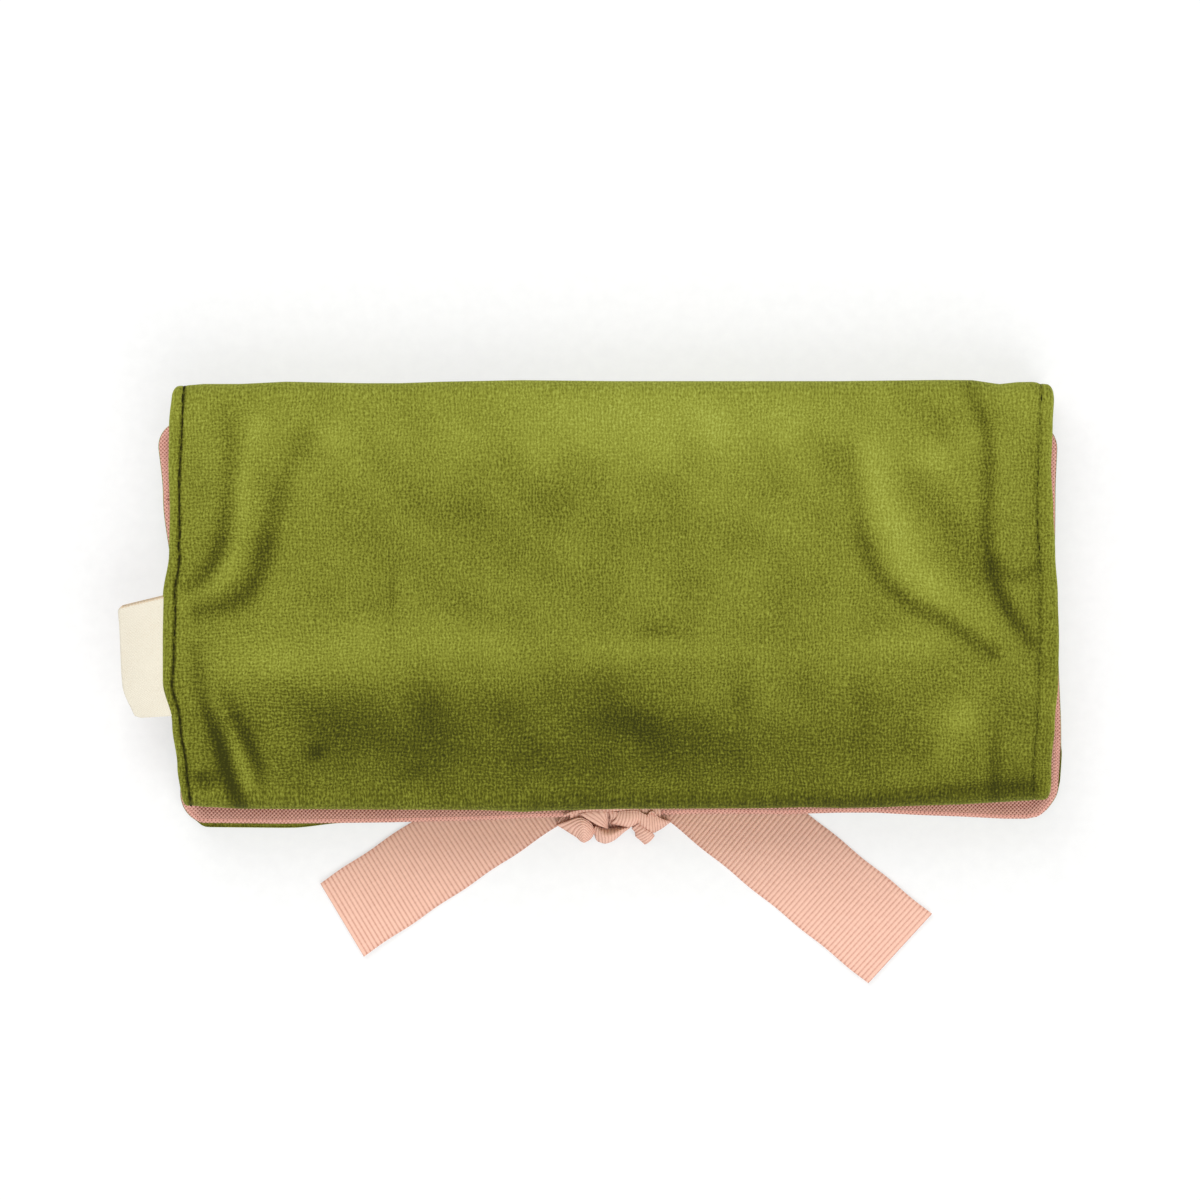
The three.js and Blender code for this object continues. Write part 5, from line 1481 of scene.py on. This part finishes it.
class ROLL_OT_pockets(bpy.types.Operator):
    """Pockets: two zipped ones with a window in their cloth, and a bound slip pocket"""
    bl_idname = "roll.pockets"
    bl_label = "Pockets"

    def execute(self, context):
        for part, (low, high, zip_y) in ZIP_POCKETS.items():
            self.zip_pocket(part, low, high, zip_y)
        ys = spread(FRONT_FREE + POCKET_INSET, SLIP_MOUTH, 2.5)
        outer, under, uv, x = pocket_grid("front", ys, LAYER_REST, POCKET_CLOTH)
        distance = Strip([panel_row("front", y) for y in ys]).edge_distance(x)
        # Painted shade: the pocket is painted darker in a band near its border, under the back panel's edge
        painted_shade = bell(np.maximum(PAINTED_SHADE_LINE - distance, 0), 0, PAINTED_SHADE_HALF)
        painted_shade = painted_shade * (1 - smooth((distance - PAINTED_SHADE_END) / 2))
        pocket = make_piece(
            "slip_pocket", closed_sheet(outer, under, uv, sealed=painted_shade), finish_of("lining"),
            "front_flap", ["front_slip_pocket"])
        ys = spread(SLIP_MOUTH - BINDING_WIDTH, SLIP_MOUTH + 0.4, 0.7)
        outer, _, _, _ = pocket_grid("front", ys, LAYER_REST, POCKET_CLOTH + LAYER_REST + BINDING_CLOTH)
        binding = ribbon_piece(
            "pocket_binding", [outer.transpose(1, 0, 2) / MM], "front_flap", ["front_pocket_binding"],
            thickness=BINDING_CLOTH)
        return {"FINISHED"}

    def zip_pocket(self, part, low, high, zip_y):
        ends = (low, zip_y - WINDOW_WIDTH / 2, zip_y + WINDOW_WIDTH / 2, high)
        below, window, above = (spread(start, end, 2) for start, end in zip(ends, ends[1:]))
        ys = below + window[1:-1] + above
        outer, under, uv, x = pocket_grid(part, ys, WINDOW_LIFT, POCKET_CLOTH)
        kept = np.ones((outer.shape[0] - 1, outer.shape[1] - 1), bool)
        middle = (x[0, :-1] + x[0, 1:]) / 2
        open_columns = np.abs(middle) < WINDOW_LENGTH / 2
        kept[len(below) - 1:len(below) + len(window) - 2, open_columns] = False
        body = BODIES[part]
        cloth = make_piece(
            f"zip_pocket_{part}", closed_sheet(outer, under, uv, kept=kept), finish_of("lining"),
            body, [f"{part}_zip_pocket"])
        reach = WINDOW_LENGTH / 2 + HEM_LINE
        lines = []
        for row in (len(below) - 2, len(below) + len(window) - 1):
            inside = np.abs(x[row]) <= reach + 1
            lines.append(outer[row, inside] - (0, 0, FACINGS[part] * THREAD_SINK * MM))
        for row in (1, len(ys) - 2):
            lines.append(outer[row, 2:-2] - (0, 0, FACINGS[part] * THREAD_SINK * MM))
        make_piece(
            f"hem_stitches_{part}", stitched(lines, finish_of("pink thread")), finish_of("pink thread"),
            body)


def over_lining(part, zip_y, x, across, height):
    """A point of a zip, in millimetres: height is above the padded lining, across from its middle."""
    face = MIDDLES[part] - FACINGS[part] * (LINING + HALF_ROOM)
    return np.stack(np.broadcast_arrays(
        x, zip_y - FACINGS[part] * across, face - FACINGS[part] * height), axis=-1).astype(float)


class ROLL_OT_zips(bpy.types.Operator):
    """Zips: woven tapes, nylon teeth, brass ends and sliders, and ribbon pulls"""
    bl_idname = "roll.zips"
    bl_label = "Zips"

    def execute(self, context):
        for part, (_, _, zip_y) in ZIP_POCKETS.items():
            for side, label in ((FACINGS[part] * -1, "upper"), (FACINGS[part], "lower")):
                self.tape(part, zip_y, side, label)
            self.pull(part, zip_y)
        for node in ("stop_left", "stop_right", "slider"):
            for part in ZIP_POCKETS:
                polish(f"{part}_zip_{node}")
        return {"FINISHED"}

    def tape(self, part, zip_y, side, label):
        sizes = bpy.context.scene.roll_sizes
        xs = np.linspace(-TAPE_LENGTH / 2, TAPE_LENGTH / 2, 96)
        across = np.array([1.4, 1.9, 2.5, 3.2, 4.4, 5.8, 7.4, 8.6, 9.4, 9.7])
        # The tape has a woven cord beside the teeth and a thicker selvedge at its far edge
        rise = ZIP_TAPE + 0.25 * bell(across, 2.2, 0.5) + 0.12 * bell(across, 9.3, 0.4)
        grid_x, grid_a = np.meshgrid(xs, side * across, indexing="ij")
        top = over_lining(part, zip_y, grid_x, grid_a, TAPE_LOW + rise[None, :])
        under = over_lining(part, zip_y, grid_x, grid_a, TAPE_LOW + 0 * grid_a)
        uv = np.stack([grid_x, grid_a], -1) * MM
        node = f"{part}_zip_tape_{label}"
        tape = make_piece(
            f"tape_{label}_{part}", closed_sheet(top * MM, under * MM, uv), finish_of("tape"),
            BODIES[part], [node])
        # Teeth of the two rows stand between each other
        shift = sizes.tooth_pitch / MM / 2 if side > 0 else 0
        ends = np.array([-TEETH_LENGTH / 2 + shift, TEETH_LENGTH / 2 + shift - 0.5])
        line = over_lining(part, zip_y, ends, side * TOOTH_PLACE, TAPE_LOW + TOOTH_HEIGHT / 2)
        size = (0.4 * sizes.tooth_pitch, TOOTH_REACH * MM, TOOTH_HEIGHT / 2 * MM)
        teeth = through_tree(
            polyline_mesh([line * MM]), bead_tree(), Pitch=sizes.tooth_pitch, Size=size,
            Material=finish_of("nylon"))
        make_piece(f"teeth_{label}_{part}", teeth, finish_of("nylon"), BODIES[part], [node])

    def pull(self, part, zip_y):
        start = -TEETH_LENGTH / 2 + SLIDER_LENGTH / 2 - PULL_NECK
        xs = np.linspace(start, start + PULL_LENGTH, round(PULL_LENGTH / RIB_STEP))
        run = xs - start
        half = PULL_WIDTH / 2 * (0.75 + 0.25 * smooth((run - 4.6) / PULL_WIDTH))
        half = np.minimum(half, np.maximum(PULL_LENGTH - run, 0.12))
        share = np.linspace(-1, 1, 11)
        wave = 0.15 * np.sin(run / 4.0)[:, None] * smooth((run - 6) / 6)[:, None]
        grid = over_lining(part, zip_y, xs[:, None], half[:, None] * share[None, :], PULL_TOP + wave)
        if FACINGS[part] > 0:
            grid = grid[:, ::-1]
        pull = ribbon_piece(f"pull_{part}", [grid], f"{part}_zip_slider", [f"{part}_zip_pull"])


def polish(node):
    """Gives a CAD node of the press stud or the zips its brass."""
    carried = bpy.data.objects[node]
    carried.data.materials.clear()
    carried.data.materials.append(finish_of("brass"))


# Ribbon

def ribbon_mesh(grid, thickness, drawn):
    """Ribbon under a grid of points in millimetres: rows follow its length, columns its width.
    Its ribs are drawn together to a share of their pitch."""
    along_way = np.gradient(grid, axis=0)
    across_way = np.gradient(grid, axis=1)
    normal = np.cross(across_way, along_way)
    normal /= np.maximum(np.linalg.norm(normal, axis=-1, keepdims=True), 1e-9)
    run = np.linalg.norm(np.diff(grid, axis=0), axis=-1).mean(axis=1)
    along = np.broadcast_to(np.concatenate([[0], np.cumsum(run)])[:, None], grid.shape[:2]) / drawn
    widths = np.linalg.norm(np.diff(grid, axis=1), axis=-1)
    across = np.concatenate([np.zeros((len(grid), 1)), np.cumsum(widths, axis=1)], axis=1)
    from_edge = np.minimum(across, across[:, -1:] - across)
    ribbed = smooth(from_edge / SELVEDGE)
    uv = np.stack([across, along], -1) * MM
    outer, inner = grid * MM, (grid - normal * thickness) * MM
    return closed_sheet(outer, inner, uv, along=along * MM, ribbed=ribbed)


def ribbon_piece(name, grids, body, replaced, thickness=RIBBON_CLOTH, drawn=1.0):
    """A piece of grosgrain over one or more grids of points, with its ribs raised."""
    sizes = bpy.context.scene.roll_sizes
    finish = finish_of("ribbon")
    plain = joined_mesh([ribbon_mesh(np.asarray(grid, float), thickness, drawn) for grid in grids])
    ribbed = through_tree(plain, rib_tree(), Pitch=sizes.rib_pitch, Height=sizes.rib_height, Material=finish)
    return make_piece(name, ribbed, finish, body, replaced)


def tail_grid(knot, end, width, skew, phase):
    """A tail lies on the table. Its outer edge runs straight from beside the knot to the cut end,
    and its other edge draws in under the flap."""
    start, way = np.array(knot), np.subtract(end, knot)
    run = float(np.linalg.norm(way))
    way = way / run
    inwards = np.array([-way[1], way[0]]) * np.sign(way[0])
    even = np.linspace(-TAIL_BACK, run, round((run + TAIL_BACK) / RIB_STEP))
    share = np.linspace(0, 1, 33)
    low_y = start[1] + way[1] * even
    room = (TAIL_HIDDEN - low_y) / inwards[1]
    wide = width - 1.5 * np.log1p(np.exp((width - room) / 1.5))
    t = even / run
    ahead = even[:, None] + skew * share[None, :] * smooth(t[:, None])
    across = wide[:, None] * share[None, :]
    # The selvedges wander by a thread or two
    across = across + 0.12 * np.sin(even / 2.7 + phase)[:, None] * np.abs(2 * share - 1)[None, :] ** 6
    x, y = (start[k] + way[k] * ahead + inwards[k] * across for k in (0, 1))
    free = smooth((t - TAIL_LIFT) / TAIL_LIFT)[:, None]
    lift = TAIL_RIPPLE * (0.5 - 0.5 * np.cos(t * 3 * math.pi + phase))[:, None]
    lift = lift + 0.2 * (1 + np.sin(4.4 * share[None, :] + 2.4 * t[:, None] * math.pi + phase))
    grid = np.stack([x, y, lift * free + RIBBON_CLOTH], -1)
    return grid if way[0] < 0 else grid[:, ::-1]


def bow_grid(guides):
    """Ribbon through rib lines, each a row of points: place in the bow's plan and height."""
    control = np.array(guides, float)
    width = np.linalg.norm(np.diff(control, axis=1), axis=-1).sum(axis=1).max()
    length = np.linalg.norm(np.diff(control, axis=0), axis=-1).sum(axis=0).mean()
    across = np.stack([spline(row, max(9, round(width / 0.35))) for row in control])
    grid = spline(across, max(8, round(length / (RIB_STEP * BOW_DRAWN))))
    area_way = np.cross(grid[-1, 0] - grid[0, 0], grid[0, -1] - grid[0, 0])[2]
    return grid[:, ::-1] if area_way > 0 else grid


class ROLL_OT_ribbon(bpy.types.Operator):
    """Ribbon: the stretch sewn to the flap, the crumpled bow and its two tails"""
    bl_idname = "roll.ribbon"
    bl_label = "Ribbon bow"

    def execute(self, context):
        for name, guides in BOW.items():
            piece = ribbon_piece(
                f"{name}_cloth", [bow_grid(g) for g in guides], "front_flap", [name], thickness=BOW_CLOTH,
                drawn=BOW_DRAWN)
        for name, tail in TAILS.items():
            piece = ribbon_piece(f"{name}_cloth", [tail_grid(**tail)], "front_flap", [name])
        xs = np.linspace(-RIBBON_WIDTH / 2, RIBBON_WIDTH / 2, round(RIBBON_WIDTH / RIB_STEP))
        ys = spread(FRONT_FREE, FRONT_FREE + ANCHOR_REACH, 0.5)
        strip = Strip([panel_row("front", y) for y in ys])
        x = np.broadcast_to(xs, (len(ys), len(xs)))
        _, down = strip.heights(x)
        grid = strip.place(x, -(down + POCKET_CLOTH + BINDING_CLOTH + RIBBON_CLOTH)) / MM
        anchor = ribbon_piece(
            "anchor_cloth", [grid.transpose(1, 0, 2)[:, ::-1]], "front_flap", ["ribbon_anchor"])
        return {"FINISHED"}


# Label

def label_surface(radius):
    """One face of the folded label: rows follow the seam, columns run out, round its fold and
    back. The radius is half of the height between its two layers."""
    ys = np.linspace(LABEL_LOW, LABEL_LOW + LABEL_HEIGHT, 60)
    strip = Strip([panel_row("back", y) for y in ys])
    seam = strip.place(strip.left[:, None], np.zeros((len(ys), 1)))[:, 0, 2] / MM
    share = (ys - ys[0]) / LABEL_HEIGHT
    from_top = (ys[-1] - ys) / LABEL_CORNER
    from_low = (ys - ys[0]) / LABEL_CORNER
    reach = LABEL_REACH_LOW + share * (LABEL_REACH_HIGH - LABEL_REACH_LOW)
    for corner in (from_top, from_low * 2):
        reach = reach - 1.2 * (1 - np.sqrt(np.maximum(1 - (1 - np.minimum(corner, 1)) ** 2, 0)))
    reach = reach + 0.18 * np.sin(ys / 4.3)
    run = np.linspace(0, 1, 24)
    turns = np.linspace(-math.pi / 2, math.pi / 2, 13)[1:-1]
    out = np.concatenate([run, 1 + 0 * turns, run[::-1]])
    spare = np.concatenate([0 * run, np.cos(turns), 0 * run])
    up = np.concatenate([-1 + 0 * run, np.sin(turns), 1 + 0 * run])
    flat = reach[:, None] - LABEL_FOLD_RADIUS
    distance = out[None, :] * (flat + LABEL_INSIDE) - LABEL_INSIDE + spare[None, :] * radius
    drop = LABEL_DROP * (np.maximum(distance, 0) / LABEL_REACH_HIGH) ** 2
    spread_open = 1 + 0.35 * np.sin(np.clip(out, 0, 1) * math.pi)[None, :]
    x = strip.left[:, None] - distance
    z = seam[:, None] - drop + up[None, :] * radius * spread_open + 0.1 * np.sin(ys / 6)[:, None] * out
    path = np.concatenate([[0], np.cumsum(np.hypot(np.diff(distance[30]), np.diff(up * radius)))])
    uv = np.stack(np.broadcast_arrays(path[None, :], (ys[-1] - ys)[:, None]), -1) * MM
    slant = LABEL_SLANT_LOW + share * (LABEL_SLANT_HIGH - LABEL_SLANT_LOW)
    y = ys[:, None] - slant[:, None] * np.maximum(distance, 0) / LABEL_REACH_HIGH
    y = y - LABEL_OFFSET / 2 * up[None, :]
    sealed = np.broadcast_to(bell(ys[-1] - ys, 0, 0.35)[:, None], x.shape)
    return np.stack([x, y, z], -1) * MM, uv, sealed


class ROLL_OT_label(bpy.types.Operator):
    """Label: a bare folded loop of woven cloth held in the side seam"""
    bl_idname = "roll.label"
    bl_label = "Side label"

    def execute(self, context):
        outer, uv, sealed = label_surface(LABEL_FOLD_RADIUS + LABEL_CLOTH / 2)
        inner, _, _ = label_surface(LABEL_FOLD_RADIUS - LABEL_CLOTH / 2)
        label = make_piece(
            "label_cloth", closed_sheet(outer, inner, uv, sealed=sealed), finish_of("label"),
            "back_panel", ["side_label"])
        return {"FINISHED"}


# Ring bar

def bar_point(x, turn, radius):
    return np.stack(np.broadcast_arrays(
        x, BAR_Y + radius * np.cos(turn), BAR_Z + radius * np.sin(turn)), -1)


class ROLL_OT_ring_bar(bpy.types.Operator):
    """Ring bar: a stuffed velvet tube with its anchor, its end tab and the press stud"""
    bl_idname = "roll.ring_bar"
    bl_label = "Ring bar"

    def execute(self, context):
        half = BAR_LENGTH / 2
        # The tube swells between its gathered ends and has a sewn seam along the side
        end_turns = np.linspace(0, math.pi / 2, 9)
        ends = half - BAR_DOME + BAR_DOME * np.cos(end_turns)
        xs = np.concatenate([-ends, np.linspace(-half + BAR_DOME, half - BAR_DOME, 130)[1:-1], ends[::-1]])
        cap = np.sin(np.clip((half - np.abs(xs)) / BAR_DOME, 0, 1) * math.pi / 2) ** 0.6
        turns = np.linspace(0, math.tau, 49)[:-1]
        grid_x, grid_t = np.meshgrid(xs, turns, indexing="ij")
        radius = BAR_DIAMETER / 2 * (0.985 + 0.015 * ripple(grid_x, grid_t * 4, 51, 30)) * cap[:, None]
        seam = bell((grid_t - math.pi * 0.75 + math.pi) % math.tau - math.pi, 0, 0.1)
        gathers = 0.25 * np.sin(grid_t * 14) * bell(half - np.abs(grid_x), 0, 2.5)
        radius = np.maximum(radius - 0.35 * seam * cap[:, None] + gathers * cap[:, None] - 0.05, 0.02)
        points = bar_point(grid_x, grid_t, radius)
        count = len(turns)
        index = np.arange(points.shape[0] * count).reshape(-1, count)
        nexts = np.roll(index, -1, axis=1)
        faces = np.stack([index[:-1], nexts[:-1], nexts[1:], index[1:]], -1).reshape(-1, 4)
        uv = np.stack([grid_x, grid_t * BAR_DIAMETER / 2], -1) * MM
        # Painted shade: the velvet is painted darker along the seam's groove
        nap = 0.4 * ripple(grid_x, grid_t * 5, 53, 22) - 0.5 * seam
        mesh = build_mesh(
            points.reshape(-1, 3) * MM, faces, uv.reshape(-1, 2), {"nap": nap.reshape(-1)})
        close_ends(mesh)
        bar = make_piece("bar_pad", mesh, finish_of("velvet"), "ring_bar", ["ring_bar"])
        anchor_end = -half - LAYER_GAP
        self.patch("bar_anchor", anchor_end - ANCHOR_LENGTH, anchor_end, BAR_FACE - LAYER_GAP,
                   "back_panel", "ring_bar_anchor", rounded_end=-1)
        self.patch("bar_tab", half + LAYER_GAP, half + LAYER_GAP + TAB_LENGTH, BAR_FACE - TAB_HEIGHT,
                   "ring_bar", "ring_bar_tab", rounded_end=1)
        for node in ("stud_post", "stud_cap"):
            polish(node)
        return {"FINISHED"}

    def patch(self, name, x_from, x_to, top, body, node, rounded_end):
        """A strap end of velvet with a rounded end and a stitched border."""
        xs = np.linspace(x_from, x_to, 40)
        end = x_to if rounded_end > 0 else x_from
        near = np.clip(np.abs(end - xs) / (TAB_WIDTH / 2), 0, 1)
        half = TAB_WIDTH / 2 * (0.45 + 0.55 * np.sqrt(1 - (1 - near) ** 2))
        share = np.linspace(-1, 1, 21)
        x = np.broadcast_to(xs[:, None], (40, 21))
        y = BAR_Y + half[:, None] * share
        rim = 0.12 * bell(1 - np.abs(share), 0, 0.12)
        upper = np.stack([x, y, np.broadcast_to(top - rim, x.shape)], -1)
        lower = np.stack([x, y, np.broadcast_to(top - TAB_CLOTH + 0.08 + rim, x.shape)], -1)
        nap = 0.3 * ripple(x, y, 57, 9)
        mesh = closed_sheet(lower * MM, upper * MM, np.stack([x, y], -1) * MM, nap=nap)
        strap = make_piece(name, mesh, finish_of("velvet"), body, [node])
        line = [(px * MM, (BAR_Y + side * (h - 1.1)) * MM, (top - TAB_CLOTH + 0.1) * MM)
                for side in (1, -1) for px, h in list(zip(xs[2:-2], half[2:-2]))[::side]]
        make_piece(f"{name}_stitches", stitched([line], finish_of("olive thread")), finish_of("olive thread"),
                   body)


def close_ends(mesh):
    """Closes the open rings at both ends of a tube."""
    work = bmesh.new()
    work.from_mesh(mesh)
    open_edges = [edge for edge in work.edges if edge.is_boundary]
    bmesh.ops.holes_fill(work, edges=open_edges)
    work.to_mesh(mesh)
    work.free()


# Stage

class ROLL_OT_stage(bpy.types.Operator):
    """Stage: a pale floor, soft lamps and the camera straight above"""
    bl_idname = "roll.stage"
    bl_label = "Stage"

    def execute(self, context):
        scene = context.scene
        scene.view_settings.view_transform = "Standard"
        bpy.ops.mesh.primitive_plane_add(size=FLOOR_SIZE, location=(0, 0, -0.0002))
        floor = context.active_object
        floor.name = "floor"
        floor.data.materials.append(self.floor_paper())
        for name, place, size, power in LAMPS:
            lamp = bpy.data.lights.new(name, "AREA")
            lamp.size = size
            lamp.energy = power
            held = bpy.data.objects.new(name, lamp)
            held.location = place
            held.rotation_euler = (-Vector(place)).to_track_quat("-Z", "Y").to_euler()
            scene.collection.objects.link(held)
        self.sky(scene)
        camera = bpy.data.cameras.new("camera")
        camera.lens = CAMERA_LENS
        camera.sensor_width = CAMERA_SENSOR
        camera.clip_end = 20
        eye = bpy.data.objects.new("camera", camera)
        eye.location = (CAMERA_X, CAMERA_Y, CAMERA_FOCUS + FRAME_WIDTH * CAMERA_LENS / CAMERA_SENSOR)
        scene.collection.objects.link(eye)
        scene.camera = eye
        return {"FINISHED"}

    def floor_paper(self):
        """Matt white studio paper: it keeps the shadow and stays white to the camera."""
        material, tree, surface, _ = add_speckled(
            "White studio paper", (0.9, 0.1), (300.0, 2.0), (hex_colour("#f3f3f2"), hex_colour("#fbfbfa")))
        glow = add_node(tree, "ShaderNodeEmission", Color=(1, 1, 1, 1), Strength=1.0)
        path = add_node(tree, "ShaderNodeLightPath")
        share = add_node(
            tree, "ShaderNodeMath", {"operation": "MULTIPLY"}, i0=path.outputs["Is Camera Ray"],
            i1=FLOOR_GLOW)
        both = add_node(
            tree, "ShaderNodeMixShader", i0=share.outputs[0], i1=surface.outputs[0], i2=glow.outputs[0])
        out = next(n for n in tree.nodes if n.type == "OUTPUT_MATERIAL")
        tree.links.new(both.outputs[0], out.inputs["Surface"])
        return material

    def sky(self, scene):
        """White to the camera and in reflections, and a plain soft light on the object."""
        world = bpy.data.worlds.new("studio")
        world.use_nodes = True
        scene.world = world
        tree = world.node_tree
        light = next(n for n in tree.nodes if n.type == "BACKGROUND")
        light.inputs["Color"].default_value = (1, 1, 1, 1)
        light.inputs["Strength"].default_value = SKY_LIGHT
        seen = add_node(tree, "ShaderNodeBackground", Color=(1, 1, 1, 1), Strength=1.0)
        path = add_node(tree, "ShaderNodeLightPath")
        glossy = add_node(tree, "ShaderNodeMath", {"operation": "MAXIMUM"}, i0=path.outputs["Is Camera Ray"],
                          i1=path.outputs["Is Glossy Ray"])
        both = add_node(
            tree, "ShaderNodeMixShader", i0=glossy.outputs[0], i1=light.outputs[0], i2=seen.outputs[0])
        out = next(n for n in tree.nodes if n.type == "OUTPUT_WORLD")
        tree.links.new(both.outputs[0], out.inputs["Surface"])


class ROLL_PT_panel(bpy.types.Panel):
    """The roll's pieces, sizes and colours"""
    bl_label = "Jewellery Roll"
    bl_idname = "ROLL_PT_panel"
    bl_space_type = "VIEW_3D"
    bl_region_type = "UI"
    bl_category = "Jewellery Roll"

    def draw(self, context):
        for operator in OPERATORS:
            self.layout.operator(operator.bl_idname)
        for group in (context.scene.roll_sizes, context.scene.roll_colours):
            box = self.layout.box()
            for name in group.bl_rna.properties.keys():
                if name not in ("rna_type", "name"):
                    box.prop(group, name)


OPERATORS = (
    ROLL_OT_batting, ROLL_OT_velvet, ROLL_OT_lining, ROLL_OT_stitches, ROLL_OT_pockets, ROLL_OT_zips,
    ROLL_OT_ring_bar, ROLL_OT_label, ROLL_OT_ribbon, ROLL_OT_stage,
)
CLASSES = (RollColours, RollSizes, *OPERATORS, ROLL_PT_panel)


def register():
    for cls in CLASSES:
        bpy.utils.register_class(cls)
    bpy.types.Scene.roll_colours = PointerProperty(type=RollColours)
    bpy.types.Scene.roll_sizes = PointerProperty(type=RollSizes)


def unregister():
    del bpy.types.Scene.roll_sizes
    del bpy.types.Scene.roll_colours
    for cls in reversed(CLASSES):
        bpy.utils.unregister_class(cls)


def main():
    register()
    for operator in OPERATORS:
        group, name = operator.bl_idname.split(".")
        getattr(getattr(bpy.ops, group), name)()


if __name__ == "__main__":
    main()
